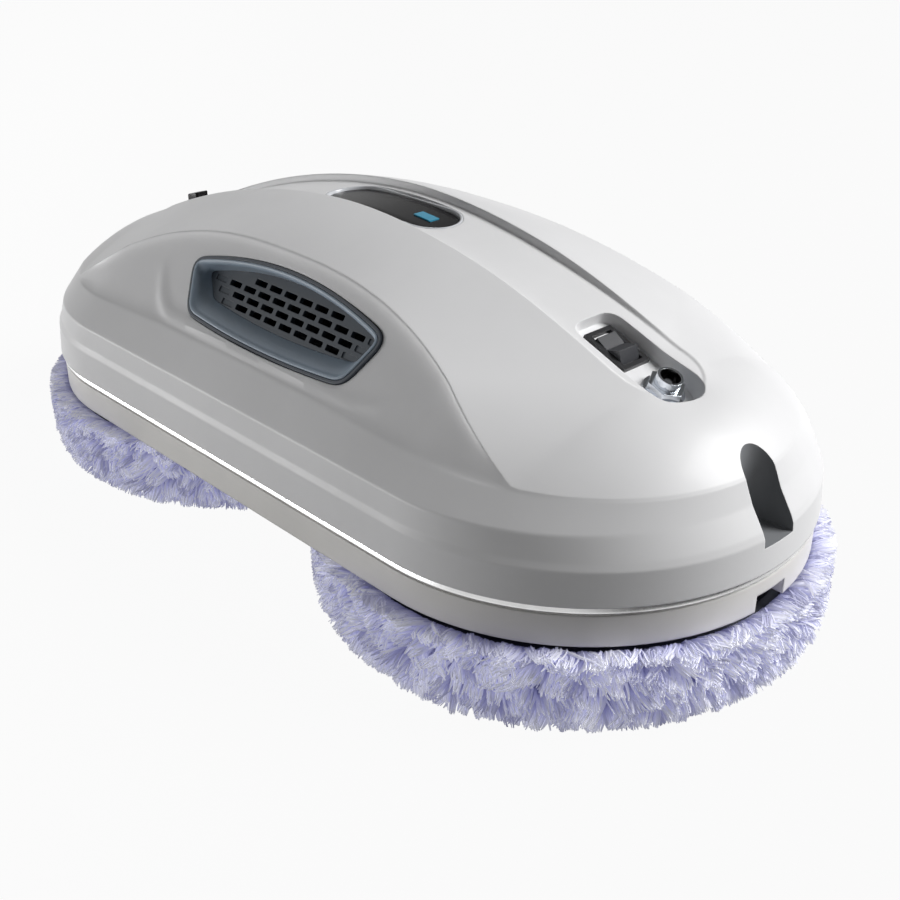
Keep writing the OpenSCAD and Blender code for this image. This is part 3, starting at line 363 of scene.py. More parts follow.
def resampled(line, places):
    # the points at these places along a line
    along = travelled(line)
    return np.stack([np.interp(places, along, line[:, i]) for i in range(line.shape[1])], -1)


def ease(value, start=0, span=1):
    # a soft step from 0 to 1
    t = np.clip((value - start) / span, 0, 1)
    return t * t * (3 - 2 * t)


# The body's sizes, with the powers of its long curves and the starts and spans of its fades. The heights are those
# of foot, skirt, ridge, low and high band, and the insets theirs at ends and sides.
shell = dict(axleX=74, width=135.4, crown=98.3, wall=2.4, heights=(35.1, 9.3, 1.8, 6.1, 4.8),
             insets=((0, 0), (0.7, 0.7), (1.5, 1.5), (5.4, 2.4)), highInset=9.7, highRise=5.2, highPower=1.5,
             flankHalf=104, flankRise=32.7, flankPower=2.5, lean=0.724, brow=0.8, channelHalf=112.7,
             channelW=12.7, channelDepth=2.2, channelStep=0.8, channelFade=(0.84, 0.16), channelFadeShare=0.8,
             spineDrop=27, spinePower=1.85, lipFade=(0.42, 0.58), lipFadeShare=0.85, endFade=(0.5, 0.6),
             fullOut=1.8, fullUp=0.9, arcColumns=44, sideColumns=52)
bandZ = np.cumsum(shell["heights"])
highZ = bandZ[-1]
aboveZ = shell["crown"] + 5  # over everything
shellR = shell["width"] / 2
highR = shellR - shell["highInset"]

# Every column round a long round-ended outline: its angle on an end, its share of a side, and its signs
arcN, sideN = shell["arcColumns"], shell["sideColumns"]
step = np.arange(arcN + sideN + 1)
order = np.concatenate([step[:-1], step[:0:-1], step[:-1], step[:0:-1]])
loopAngle = np.pi / 2 * np.minimum(order, arcN) / arcN
loopShare = 1 - np.maximum(0, order - arcN) / sideN
loopX = np.repeat([1, -1, -1, 1], arcN + sideN)
loopY = np.repeat([-1, -1, 1, 1], arcN + sideN)
endShare = ease(np.cos(loopAngle))  # 1 at the tips, 0 along the straight sides


def ring(centre, endR, sideR):
    # columns round the outline of two half circles of endR, centre from the middle, and sides at sideR
    x = loopX * (centre * loopShare + endR * np.cos(loopAngle))
    return np.stack([x, loopY * sideR * np.sin(loopAngle)], -1)


def highEdgeZ(x):
    return highZ + shell["highRise"] * (1 - (np.abs(x) / (shell["axleX"] + highR)) ** shell["highPower"])


def archZ(x):
    arch = highZ + shell["flankRise"] * (1 - np.minimum(1, np.abs(x) / shell["flankHalf"]) ** shell["flankPower"])
    return np.maximum(arch, highEdgeZ(x) + shell["brow"])


def spineZ(x):
    return shell["crown"] - shell["spineDrop"] * (np.abs(x) / shell["channelHalf"]) ** shell["spinePower"]


def channelFloorZ(x):
    fade = ease(np.abs(x) / shell["channelHalf"], *shell["channelFade"])
    return spineZ(x) - shell["channelDepth"] * (1 - fade * shell["channelFadeShare"])


def channelLipZ(x):
    # towards the cord end the roof comes down to the channel
    fade = ease(x / shell["channelHalf"], *shell["lipFade"])
    lowered = channelFloorZ(x) + shell["channelDepth"] * (1 - fade * shell["lipFadeShare"])
    return np.where(x > 0, lowered, spineZ(x))


# The roof's climb over the flanks and over the ends: a straight share, a bent share and its power
climbs = ((0.7, 0.3, 2), (0.4, 0.6, 2.5))


def climb(s, w):
    # w goes from 0 on the flanks to 1 at the ends
    onSide, onEnd = (straight * s + bent * (1 - (1 - s) ** power) for straight, bent, power in climbs)
    return (1 - w) * onSide + w * onEnd


# The flank's hollow: its depth, how soon it starts over its foot and under its arch, and where it runs out
flank = dict(sink=1.1, foot=4.5, head=9, steep=3, runOut=12)


def shellRows(t, flankRows, roofRows):
    # the shell's rings from its foot to the middle of the channel, t inside its outer face, and which are edges
    a = shell["axleX"]
    footDrop = np.array([t > 0, 0, 0, 0, 0])  # an inner face reaches below the outer one's foot
    rows = [raised(ring(a, shellR - end - t, shellR - side - t), z)
            for (end, side), z in zip(shell["insets"], bandZ - footDrop)]
    full = highR + shell["fullOut"] * endShare  # the ends stand a little fuller than the sides
    outerX = ring(a, full, full)[:, 0]
    edgeTop, archTop = (height(outerX) + shell["fullUp"] * endShare for height in (highEdgeZ, archZ))
    edge = raised(ring(a, full - t, full - t), edgeTop - t / 2)
    rows.append(edge)
    radius = full - shell["lean"] * (archTop - edgeTop) - t
    arch = raised(ring(a, radius, radius), archTop - t)
    # the flank sinks a little between its foot and its arch, less where it runs out
    tall = np.linalg.norm(arch - edge, axis=1)
    inward = np.stack([0 * tall, -np.sign(arch[:, 1]), 0 * tall - shell["lean"]], -1)
    sink = flank["sink"] * ease(tall / flank["runOut"])[:, None] * inward / np.hypot(1, shell["lean"])
    for s in np.linspace(0, 1, flankRows + 1)[1:]:
        near = np.minimum(s * tall / flank["foot"], (1 - s) * tall / flank["head"])[:, None]
        rows.append(edge + (arch - edge) * s + sink * (1 - np.exp(-flank["steep"] * near)))
    archRow = len(rows) - 1
    c = shell["channelHalf"] - shell["channelW"]
    brink = ring(c, shell["channelW"], shell["channelW"])
    brink = raised(brink, channelLipZ(brink[:, 0]) - t)
    w = ease(np.abs(arch[:, 0]) / shell["flankHalf"], *shell["endFade"])
    for s in np.linspace(0, 1, roofRows + 1)[1:-1]:
        share = np.stack(np.broadcast_arrays(s, s, climb(s, w)), -1)
        rows.append(arch + share * (brink - arch))
    rows.append(brink)
    brinkRow = len(rows) - 1
    inner = shell["channelW"] - shell["channelStep"]
    floor = ring(c, inner, inner)
    for k in (1, 0.8, 0.6, 0.4, 0.2, 0):
        rows.append(raised(floor * (1, k), channelFloorZ(floor[:, 0]) - t))
    return np.array(rows), [1, 2, 3, 4, archRow, brinkRow, brinkRow + 1]


# The rounding of the shell's edges, from its skirt to its channel, and its largest share of a face
soft = dict(radius=[0.3, 0.3, 0.45, 0.5, 0.6, 0.5, 0.35], share=0.3)


def soften(rows, edges):
    # each edge ring becomes five, so the faces beside it stay flat
    out = []
    for k, row in enumerate(rows):
        if k not in edges:
            out.append(row)
            continue
        r = soft["radius"][edges.index(k)]
        ends = []
        for other in (rows[k - 1] - row, rows[k + 1] - row):
            size = np.linalg.norm(other, axis=1)
            ends.append(row + other / np.maximum(size, 1e-6)[:, None] * np.minimum(r, soft["share"] * size)[:, None])
        low, high = ends
        out += [low + (low - row) * 0.5, low, (low + 2 * row + high) / 4, high, high + (high - row) * 0.5]
    return np.array(out)


# The soft raised lip under and beside each vent: points along it, its height at each, and how far it reaches
lip = dict(points=[(-56, -47.4, 77.5), (-52.3, -49.6, 73.6), (-48.2, -53, 68.8), (-42.9, -55.2, 65.6),
                   (-38.3, -56.1, 64.6), (0, -56.5, 64.2), (45.2, -56, 64.7), (54.6, -54.6, 66.8),
                   (63.4, -50.5, 72.5), (70, -47, 77)],
           heights=[0, 0.9, 1.3, 1.4, 1.4, 1.4, 1.4, 1.2, 0.7, 0], reach=1.9, fade=1.2, steps=240, nearY=44,
           nearX=80, nearZ=60, out=0.81, rise=0.586)


def raiseLip(rows):
    track = np.array(lip["points"], float)
    along = travelled(track)
    fine = np.linspace(0, along[-1], lip["steps"])
    track, height = resampled(track, fine), np.interp(fine, along, lip["heights"])
    points = rows.reshape(-1, 3).copy()
    for side in (1, -1):
        near = np.flatnonzero((points[:, 1] * side < -lip["nearY"]) & (np.abs(points[:, 0]) < lip["nearX"])
                              & (points[:, 2] > lip["nearZ"]))
        distance = np.linalg.norm(points[near][:, None, :] * (1, side, 1) - track[None], axis=2)
        lift = height[distance.argmin(1)] * np.exp(-(distance.min(1) / lip["reach"]) ** 2)
        lift *= ease((points[near, 2] - highEdgeZ(points[near, 0])) / lip["fade"])
        points[near] += lift[:, None] * (0, -lip["out"] * side, lip["rise"])
    return points.reshape(rows.shape)


recess = dict(x=87, depth=4, tilt=21.7, length=36, width=14, back=10, corner=4, flare=0.1, nearFlare=0.65, wall=2,
              floor=2, top=9)
recessZ = channelFloorZ(recess["x"]) - recess["depth"]
recessMid = recess["length"] / 2 - recess["back"]


def onRecess(points):
    # from the recess's tilted floor plane to the body's frame
    points = np.asarray(points, float)
    tilt = np.radians(recess["tilt"])
    x, y, z = points[..., 0], points[..., 1], points[..., 2]
    return np.stack([recess["x"] + x * np.cos(tilt) + z * np.sin(tilt), y,
                     recessZ - x * np.sin(tilt) + z * np.cos(tilt)], -1)


def recessOutline(grow):
    half, l, c = recess["width"] / 2, recess["length"] / 2, recess["corner"]
    return np.concatenate([arc((recessMid - l + c, half - c), c + grow, 90, 180, steps=8),
                           arc((recessMid - l + c, c - half), c + grow, 180, 270, steps=8),
                           arc((recessMid + l - half, 0), half + grow, -90, 90, steps=32)])


def recessCutter(grow, drop):
    # the wall on the near side leans out more than the others
    high = recessOutline(grow + recess["flare"] * recess["top"])
    high[:, 1] -= (recess["nearFlare"] - recess["flare"]) * recess["top"] * ease(-high[:, 1] / recess["width"] * 2)
    return tubeCutter(onRecess([raised(recessOutline(grow), -drop), raised(high, recess["top"])]))


notch = dict(width=12, length=12.6, floorZ=42.1, endX=141, past=20)
notchX = notch["endX"] - notch["length"] + notch["width"] / 2


def notchCutter(grow):
    r, far = notch["width"] / 2 + grow, notchX + notch["past"]
    outline = np.concatenate([arc((notchX, 0), r, 90, 270, steps=32), [[far, -r], [far, r]]])
    return tubeCutter([raised(outline, notch["floorZ"] - grow), raised(outline, aboveZ)])


def shadeNotch(mesh, slack=0.05, upright=0.02):
    # the upright walls and the floor of the notch take a grey finish: painted shade in the deep notch, whose plastic
    # is the shell's white
    mesh.materials.append(materials["notchPaintedShade"])
    middle, normal = np.zeros((2, len(mesh.polygons) * 3))
    mesh.polygons.foreach_get("center", middle)
    mesh.polygons.foreach_get("normal", normal)
    x, y, z = middle.reshape(-1, 3).T / mm
    r, foot = notch["width"] / 2 + slack, notch["floorZ"]
    inside = (x > 0) & (np.hypot(np.minimum(x - notchX, 0), y) < r) & (z > foot - slack)
    inside &= (np.abs(normal[2::3]) < upright) | (z < foot + slack)
    mesh.polygons.foreach_set("material_index", inside.astype(np.int32))


# The oval window, with its rim's section as distances out and heights
window = dict(length=52, width=19, glass=1.2, sink=0.6, back=1.4, fit=0.15, wall=2, endStations=14,
              sideStations=12, inset=0.9, edgeRise=0.78, edgeShare=0.1,
              across=(-1, -0.97, -0.9, -0.6, -0.3, 0, 0.3, 0.6, 0.9, 0.97, 1),
              rim=((0.05, -1.2), (0.05, 0.02), (-0.12, 0.16), (-0.4, 0.2), (-0.75, 0.02), (-1.0, -0.5), (-1.15, -1.2)))


def windowOutline(grow):
    r = window["width"] / 2
    half = window["length"] / 2 - r
    return np.concatenate([arc((half, 0), r + grow, -90, 90, steps=24), arc((-half, 0), r + grow, 90, 270, steps=24)])


def stationCutter(xs, half, low, high):
    # a solid along X whose cross-section is a box, half wide each way, from low to high
    xs, half, low, high = np.broadcast_arrays(xs, half, low, high)
    corners = ((-half, low), (half, low), (half, high), (-half, high))
    return tubeCutter(np.stack([np.stack([xs, y, z], -1) for y, z in corners], 1))


def windowStations(grow):
    # stations along the window, closer together on its ends, and its half-width at each
    r = window["width"] / 2 + grow
    half = window["length"] / 2 - window["width"] / 2
    turn = np.radians(np.linspace(2, 90, window["endStations"]))
    ends = half + r * np.cos(turn)
    middle = np.linspace(-half, half, window["sideStations"])[1:-1]
    wide = r * np.sin(turn)
    return (np.concatenate([-ends, middle, ends[::-1]]),
            np.concatenate([wide, np.full(len(middle), r), wide[::-1]]))


def windowCutter(grow, depth):
    xs, side = windowStations(grow)
    return stationCutter(xs, side, channelFloorZ(xs) - depth, aboveZ)


# The vent: its mouth and well in the flank's plane, and the sections of its rim and of the dark ring in the gap round
# it, whose colour is painted shade
vent = dict(x=4, length=84.4, height=22.2, up=16.5, topSag=6.4, lowSag=1.9, taper=6.8, corner=2.4, wellSide=2.6,
            wellLow=5.8, wellHigh=0.8, wellCorner=1.6, wellRings=10, wellPower=1.15, rim=1.6, depth=4.4, rebate=1.2,
            fit=0.15, through=14, clear=3, points=240, backOut=1.3, rebateOut=0.1,
            section=((0.45, -1.2), (0.45, 0.25), (0.3, 0.42), (0.05, 0.48), (-0.25, 0.4), (-0.65, 0.05),
                     (-0.95, -0.4)),
            gapShadeRing=((1.6, -1.2), (1.6, 0.05), (1.4, 0.22), (0.7, 0.22), (0.5, 0.05), (0.5, -1.2)))
flankAngle = np.pi / 2 - np.arctan(shell["lean"])


def onFlank(points, side):
    # from the flank's own plane on the right (side 1) or left (side -1) to the body's frame
    points = np.asarray(points, float)
    x, y, z = points[..., 0], points[..., 1], points[..., 2]
    z = z - flank["sink"]
    across = -highR + y * np.cos(flankAngle) - z * np.sin(flankAngle)
    return np.stack([vent["x"] + x, across * side,
                     highEdgeZ(vent["x"]) + y * np.sin(flankAngle) + z * np.cos(flankAngle)], -1)


def ventOutline(side=0, low=0, high=0, corner=vent["corner"]):
    # two shallow arcs and two slanted ends, with corners rounded by a running average
    l = vent["length"] / 2 - side
    b = l - vent["taper"]
    top, foot = vent["up"] + vent["height"] / 2 - high, vent["up"] - vent["height"] / 2 + low
    u = np.linspace(1, -1, 60)
    upper = np.stack([l * u, top - vent["topSag"] * u * u], -1)
    lower = np.stack([-b * u, foot + vent["lowSag"] * u * u], -1)
    loop = np.concatenate([upper, lower, upper[:1]])
    length = travelled(loop)[-1]
    loop = resampled(loop, np.linspace(0, length, vent["points"] + 1)[:-1])
    width = max(1, round(corner / (length / vent["points"])))
    for _ in range(2):
        loop = sum(np.roll(loop, k, axis=0) for k in range(-width, width + 1)) / (2 * width + 1)
    return loop


def wellOutline():
    return ventOutline(vent["wellSide"], vent["wellLow"], vent["wellHigh"], vent["wellCorner"])


def grown(outline, distance):
    # an outline moved out along its own normals
    along = np.roll(outline, -1, axis=0) - np.roll(outline, 1, axis=0)
    out = np.stack([along[:, 1], -along[:, 0]], -1) / np.linalg.norm(along, axis=1)[:, None]
    turn = np.sign(np.sum(outline[:, 0] * np.roll(outline[:, 1], -1) - outline[:, 1] * np.roll(outline[:, 0], -1)))
    return outline + out * distance * turn


def ventCutter(side, grow, low):
    outline = grown(ventOutline(), grow)
    return tubeCutter(onFlank([raised(outline, low), raised(outline, vent["clear"])], side))


# The small dark block at the far end of the channel
lens = dict(x=-106, length=6, width=5, fit=0.15, root=1.4, up=3.9, corner=0.7, bevel=0.4, bevelMid=0.12, through=8)


def addShell(name, rows):
    # closed under its foot, and joined along the doubled middle line of the channel
    piece = addMesh(name, rows.reshape(-1, 3), gridFaces(*rows.shape[:2]), "shellPlastic")
    cleanMesh(piece.data, join=1e-6, foot=rows.shape[1])
    return piece


def makeShell():
    outer, edges = shellRows(0, flankRows=22, roofRows=34)
    piece = addShell("topShell", raiseLip(soften(outer, edges)))
    hollow = addShell("hollow", shellRows(shell["wall"], flankRows=4, roofRows=10)[0])
    glassDepth = window["sink"] + window["glass"]
    cut(hollow, recessCutter(recess["wall"], recess["floor"]))
    cut(hollow, notchCutter(recess["wall"]))
    cut(hollow, windowCutter(window["wall"], glassDepth + window["back"]))
    cut(piece, hollow)
    cut(piece, recessCutter(0, 0))
    cut(piece, notchCutter(0))
    cut(piece, windowCutter(window["fit"], glassDepth))
    for side in (1, -1):
        cut(piece, ventCutter(side, vent["fit"], -vent["through"]))
        cut(piece, ventCutter(side, vent["rim"] + vent["fit"], -vent["rebate"]))
    reach = lens["length"] / 2 + lens["fit"]
    cut(piece, stationCutter((lens["x"] - reach, lens["x"] + reach), lens["width"] / 2 + lens["fit"],
                             channelFloorZ(lens["x"]) - lens["through"], shell["crown"]))
    finishMesh(piece.data, "shellPlastic", 30)
    shadeNotch(piece.data)
    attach(piece, "chassis")
    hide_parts("top_shell")
    print("shell made:", len(piece.data.polygons), "faces")


makeShell()


def mouthRings(section):
    return [raised(grown(ventOutline(), out), height) for out, height in section]


def addVentTube(side, name, rings, finish, replaces=()):
    addTube(name, onFlank(rings, side), finish, wrap=True, body="chassis", slot="bezel_plastic", sharp=40,
            replaces=replaces)


def makeVentFrame(side, word):
    # a rounded rim, then a well wall that narrows to the grille, closed round the back
    rings = mouthRings(vent["section"])
    start, deep = rings[-1], raised(wellOutline(), -vent["depth"])
    rings += [start + (deep - start) * np.array([s, s, s ** vent["wellPower"]])
              for s in np.linspace(0, 1, vent["wellRings"])[1:]]
    rings += [raised(grown(wellOutline(), vent["backOut"]), -vent["depth"]),
              *mouthRings([(vent["rebateOut"], -vent["rebate"])])]
    addVentTube(side, "ventFrame" + word, rings, "ventGrey", ("vent_bezel_" + word.lower(),))


# The grille's slots: for each row its first and last slot and its first and last open one; the rest are blind
grille = dict(thick=1.6, length=5.4, width=1.75, round=0.35, pitch=7, low=13.8, rowPitch=3, shift=1.75, blind=0.35,
              out=1.2, past=1, rows=[(-4, 4, -3, 3), (-4, 5, -3, 4), (-5, 5, -4, 4), (-2, 3, -2, 3)])


def makeGrille(side, word):
    face, r = -vent["depth"], grille["round"]
    floor = grown(wellOutline(), grille["out"])
    plate = onFlank([raised(floor, face - grille["thick"]), raised(floor, face)], side)
    piece = addTube("ventGrille" + word, plate, "grilleGrey")
    for row, (first, last, firstOpen, lastOpen) in enumerate(grille["rows"]):
        y = grille["low"] + row * grille["rowPitch"]
        for k in range(first, last + 1):
            x = k * grille["pitch"] + (grille["shift"] if row % 2 == 0 else -grille["shift"])
            deep = grille["thick"] + grille["past"] if firstOpen <= k <= lastOpen else grille["blind"]
            slot = roundedBox(grille["length"] / 2 - r, grille["width"] / 2 - r, r, steps=3, middle=(x, y))
            cut(piece, tubeCutter(onFlank([raised(slot, face - deep), raised(slot, face + grille["past"])], side)))
    finishMesh(piece.data, "grilleGrey", 30)
    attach(piece, "chassis")
    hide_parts("vent_grille_" + word.lower())


for side, word in ((1, "Right"), (-1, "Left")):
    makeVentFrame(side, word)
    # a dark ring fills the gap round each rim: its colour is painted shade of the gap
    addVentTube(side, "ventGasket" + word, mouthRings(vent["gapShadeRing"]), "gapShadeDark")
    makeGrille(side, word)
print("vents made")


# The pads: a soft body under thousands of curved locks of pile
pad = dict(centre=74, wallR=64.9, rimR=66.7, topZ=20.6, midZ=9.8, lowR=60.7, lowZ=2.4, hole=28, holeRound=1.5,
           holeZ=9.9, slot=((64.35, 10.2), (64.35, 20.1)), inset=(0.3, 0.2), faceZ=1.6, faceR=(50, 38),
           columns=160, rootShadeTone=(0.4, 0.02))
# The locks root round the rim, in degrees from its middle, and gather into tufts, on levels and in cells round the
# wheel. What is called own differs from lock to lock, the rest from tuft to tuft.
pile = dict(locks=17500, steps=5, top=94, sweep=162, crowding=1.15, level=19, levelMix=(-0.3, 0.3), cells=132,
            cellMix=(-0.25, 0.25), levels=13, lowest=6, spare=20, length=7.5, longer=3.3, longest=1.6, shorter=2.2,
            size=0.05, sizeRange=(-2, 1.5), swing=0.2, lift=0.09, offset=0.25, tint=0.25, ownLength=(0.86, 1.05),
            ownSwing=0.15, ownLift=0.09, ownTint=0.14, pull=0.55, ownPull=(0.6, 1.15), pullPower=1.4)
# How a lock's slope follows the rim over and under its middle, and how it bends and droops
path = dict(over=0.45, under=0.55, dip=0.08, shorten=0.1, droop=0.3, curl=0.5)
# The short pile of the flat underside, the limits of all locks, and one lock's section
facePile = dict(locks=2600, fromR=29, toR=62, lean=1.1, topZ=1.9, length=1.6, tint=(0.3, 0.8))
limits = dict(reach=73.6, roof=22.7, floor=0.1, mix=0.5)
section = dict(width=0.46, ownWidth=(0.75, 1.25), taper=0.6, taperPower=3, flat=0.7, roll=0.35, lowest=0.02,
               corners=(90, 210, 330))


def padProfile(theta):
    # the body's outer face in radius and height, from its top (theta 90 degrees) to its underside (-90)
    endR = np.where(theta > 0, pad["wallR"], pad["lowR"])
    rise = np.where(theta > 0, pad["topZ"] - pad["midZ"], pad["midZ"] - pad["lowZ"])
    return endR + (pad["rimR"] - endR) * np.cos(theta), pad["midZ"] + rise * np.sin(theta)


def padBodyGrid():
    # the body's cross-section, carried round the wheel's centre
    r, z = padProfile(np.radians(np.linspace(88, -88, 16)))
    outline = np.concatenate([
        pad["slot"], np.stack([r, z], -1) - pad["inset"], [[r, pad["faceZ"]] for r in pad["faceR"]],
        arc((pad["hole"] + pad["holeRound"], pad["faceZ"] + pad["holeRound"]), pad["holeRound"], 270, 180, steps=4),
        [[pad["hole"], pad["holeZ"]]]])
    turn = np.linspace(0, fullTurn, pad["columns"] + 1)[:-1]
    return np.stack([outline[:, :1] * np.cos(turn), outline[:, :1] * np.sin(turn),
                     np.broadcast_to(outline[:, 1:], (len(outline), len(turn)))], -1)


def lockPath(turn, theta, length, swing, lift, t):
    # one lock's middle line as turn, radius and height
    r, z = padProfile(theta)
    slope = np.where(theta > 0, path["over"], path["under"]) * theta - path["dip"] + lift
    reach = length * (np.cos(slope) * t - path["shorten"] * t ** 2)
    height = z + length * (np.sin(slope) * t - path["droop"] * t ** 2)
    return turn + length * swing * (t + path["curl"] * t ** 2) / r, r + reach, height


def lockCentres(rng):
    # each lock is drawn towards the middle line of its own tuft
    n, cells = pile["locks"], pile["cells"]
    t = np.linspace(0, 1, pile["steps"])[:, None]
    turn = rng.uniform(0, fullTurn, n)
    theta = np.radians(pile["top"] - pile["sweep"] * rng.uniform(0, 1, n) ** pile["crowding"])
    level = np.floor(np.degrees(theta) / pile["level"] + rng.uniform(*pile["levelMix"], n))
    halfCell = 0.5 * (level % 2)  # every other level is shifted by half a cell
    cell = np.floor(turn * cells / fullTurn + halfCell + rng.uniform(*pile["cellMix"], n))
    key = ((cell % cells) * pile["levels"] + level + pile["lowest"]).astype(int)
    count = cells * pile["levels"] + pile["spare"]
    tuft = {name: rng.normal(0, 1, count)[key] for name in ("swing", "lift", "size", "tint", "offset")}
    length = pile["length"] + pile["longer"] * np.sin(np.clip(theta, 0, pile["longest"])) ** 2
    length = (length + pile["shorter"] * np.minimum(theta, 0)) * (
        1 + pile["size"] * np.clip(tuft["size"], *pile["sizeRange"]))
    swing, lift = pile["swing"] * tuft["swing"], pile["lift"] * tuft["lift"]
    ownLength = length * rng.uniform(*pile["ownLength"], n)
    own = lockPath(turn, theta, ownLength, swing + rng.normal(0, pile["ownSwing"], n),
                   lift + rng.normal(0, pile["ownLift"], n), t)
    tuftTurn = (cell + 0.5 - halfCell + pile["offset"] * tuft["offset"]) * fullTurn / cells
    shared = lockPath(tuftTurn, np.radians((level + 0.5) * pile["level"]), length, swing, lift, t)
    pull = pile["pull"] * rng.uniform(*pile["ownPull"], n) * t ** pile["pullPower"]
    turns, radius, height = (p + (q - p) * pull for p, q in zip(own, shared))
    tint = np.clip(0.5 + pile["tint"] * tuft["tint"] + rng.normal(0, pile["ownTint"], n), 0, 1)
    # the locks of the flat underside follow
    m = facePile["locks"]
    turn, flat = rng.uniform(0, fullTurn, m), np.sqrt(rng.uniform(facePile["fromR"] ** 2, facePile["toR"] ** 2, m))
    lean = rng.normal(0, facePile["lean"], (2, m))
    turns = np.concatenate([turns, turn + lean[0] * t / flat], 1)
    radius = np.concatenate([radius, flat + lean[1] * t], 1)
    height = np.concatenate([height, facePile["topZ"] - facePile["length"] * t * np.ones(m)], 1)
    tint = np.concatenate([tint, rng.uniform(*facePile["tint"], m)])
    radius = np.minimum(radius, limits["reach"] - rng.uniform(0, limits["mix"], n + m))
    height = np.clip(height, limits["floor"], limits["roof"] - rng.uniform(0, limits["mix"], n + m))
    return np.stack([radius * np.cos(turns), radius * np.sin(turns), height], -1), tint


def lockPoints(centre, rng):
    # a three-sided skin round each lock's middle line, thinner towards its tip
    t = np.linspace(0, 1, len(centre))[:, None]
    n = centre.shape[1]
    along = np.gradient(centre, axis=0) + (0, 0, 1e-6)
    along /= np.linalg.norm(along, axis=2, keepdims=True)
    across = np.cross(along, np.array([0.0, 0, 1]) + section["roll"] * rng.normal(0, 1, (1, n, 3)))
    across /= np.maximum(np.linalg.norm(across, axis=2, keepdims=True), 1e-6)
    lifted = np.cross(across, along)
    taper = 1 - section["taper"] * t ** section["taperPower"]
    half = (section["width"] * rng.uniform(*section["ownWidth"], n) * taper)[..., None, None]
    turn = np.radians(section["corners"])[:, None]
    points = centre[:, :, None] + half * (across[:, :, None] * np.cos(turn)
                                          + section["flat"] * lifted[:, :, None] * np.sin(turn))
    points[..., 2] = np.maximum(points[..., 2], section["lowest"])
    return points


def lockFaces(n, steps):
    # quads up the sides of every lock, and one triangle on its tip
    start = 3 * np.arange(n)[:, None, None]
    k = 3 * n * np.arange(steps - 1)[None, :, None]
    a = np.arange(3)[None, None, :]
    b = (a + 1) % 3
    quads = np.stack([start + k + a, start + k + b, start + k + 3 * n + b, start + k + 3 * n + a], -1).reshape(-1, 4)
    return quads, 3 * n * (steps - 1) + 3 * np.arange(n)[:, None] + np.arange(3)


def makePad(sign, name, node, body, seed):
    rng = np.random.default_rng(seed)
    centre, tint = lockCentres(rng)
    points = lockPoints(centre, rng)
    steps, n = points.shape[:2]
    quads, tips = lockFaces(n, steps)
    bodyGrid = padBodyGrid()
    bodyPoints = bodyGrid.reshape(-1, 3)
    bodyFaces = gridFaces(*bodyGrid.shape[:2], wrapRows=True)[:, ::-1]
    count = len(bodyPoints)
    allPoints = np.concatenate([bodyPoints, points.reshape(-1, 3)]) + (sign * pad["centre"], 0, 0)
    loops = np.concatenate([bodyFaces.ravel(), (quads + count).ravel(), (tips + count).ravel()])
    totals = np.concatenate([np.full(len(bodyFaces) + len(quads), 4), np.full(len(tips), 3)])
    mesh = bpy.data.meshes.new(name)
    mesh.vertices.add(len(allPoints))
    mesh.vertices.foreach_set("co", (allPoints * mm).astype(np.float32).ravel())
    mesh.loops.add(len(loops))
    mesh.loops.foreach_set("vertex_index", loops.astype(np.int32))
    mesh.polygons.add(len(totals))
    mesh.polygons.foreach_set("loop_start", (np.cumsum(totals) - totals).astype(np.int32))
    mesh.update(calc_edges=True)
    place = np.zeros((len(allPoints), 2))
    # the pad's body takes the pile's dark root colour, which is partly painted shade between the locks
    place[:count] = pad["rootShadeTone"]
    shape = points.shape[:3]
    place[count:, 0] = np.broadcast_to(tint[None, :, None], shape).ravel()
    place[count:, 1] = np.broadcast_to(np.linspace(0, 1, steps)[:, None, None], shape).ravel()
    layer = mesh.uv_layers.new(name="pile")
    layer.uv.foreach_set("vector", place[loops].astype(np.float32).ravel())
    piece = addObject(name, mesh)
    finishMesh(mesh, "pileFabric", 60)
    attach(piece, body)
    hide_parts(node)


makePad(1, "padPileCord", "pad_cord", "wheel_cord", 11)
makePad(-1, "padPileFar", "pad_far", "wheel_far", 23)
print("pads made")


def makeWindow():
    # the dark glass, with a rounded edge
    xs, side = windowStations(-window["inset"])
    across = np.array(window["across"])
    edge = np.clip((1 - np.abs(across)) / window["edgeShare"], 0, 1) ** 0.5
    top = channelFloorZ(xs)[:, None] - window["sink"] - window["inset"] + window["edgeRise"] * edge
    upper = np.stack([np.broadcast_to(xs[:, None], top.shape), side[:, None] * across, top], -1)
    lower = upper[:, ::-1].copy()
    lower[..., 2] = (channelFloorZ(xs) - window["sink"] - window["glass"])[:, None]
    addTube("windowGlass", np.concatenate([upper, lower], 1), "lensBlack", body="chassis", slot="window_gloss",
            replaces=("status_window",))


def makeWindowRim():
    outlines = [(windowOutline(out), height) for out, height in window["rim"]]
    rings = [raised(outline, channelFloorZ(outline[:, 0]) + height) for outline, height in outlines]
    addTube("windowRim", rings, "rimSilver", wrap=True, body="chassis", slot="window_gloss")


makeWindow()
makeWindowRim()
print("window made")


def makeLens():
    # it stands square on the channel's slope and is bevelled round its top
    x, halfX, halfY = lens["x"], lens["length"] / 2, lens["width"] / 2
    fall = (channelFloorZ(x + halfX) - channelFloorZ(x - halfX)) / lens["length"]
    rings = []
    for inset, height in ((0, -lens["root"]), (0, lens["up"] - lens["bevel"]),
                          (lens["bevelMid"], lens["up"] - lens["bevelMid"]), (lens["bevel"], lens["up"])):
        outline = roundedBox(halfX - lens["corner"], halfY - lens["corner"], lens["corner"] - inset, steps=6)
        rings.append(raised(outline + (x, 0), channelFloorZ(x) + outline[:, 0] * fall + height))
    addTube("remoteLens", rings, "lensBlack", body="chassis", slot="window_gloss", replaces=("remote_lens",))


makeLens()
print("lens made")

# The bright strip between tray and shell, as radii and heights: its face is turned a little upwards
seam = dict(section=((65.5, 33.25), (67.1, 33.25), (67.2, 33.4), (66.95, 34.3), (66.5, 35.0), (65.5, 35.05)))


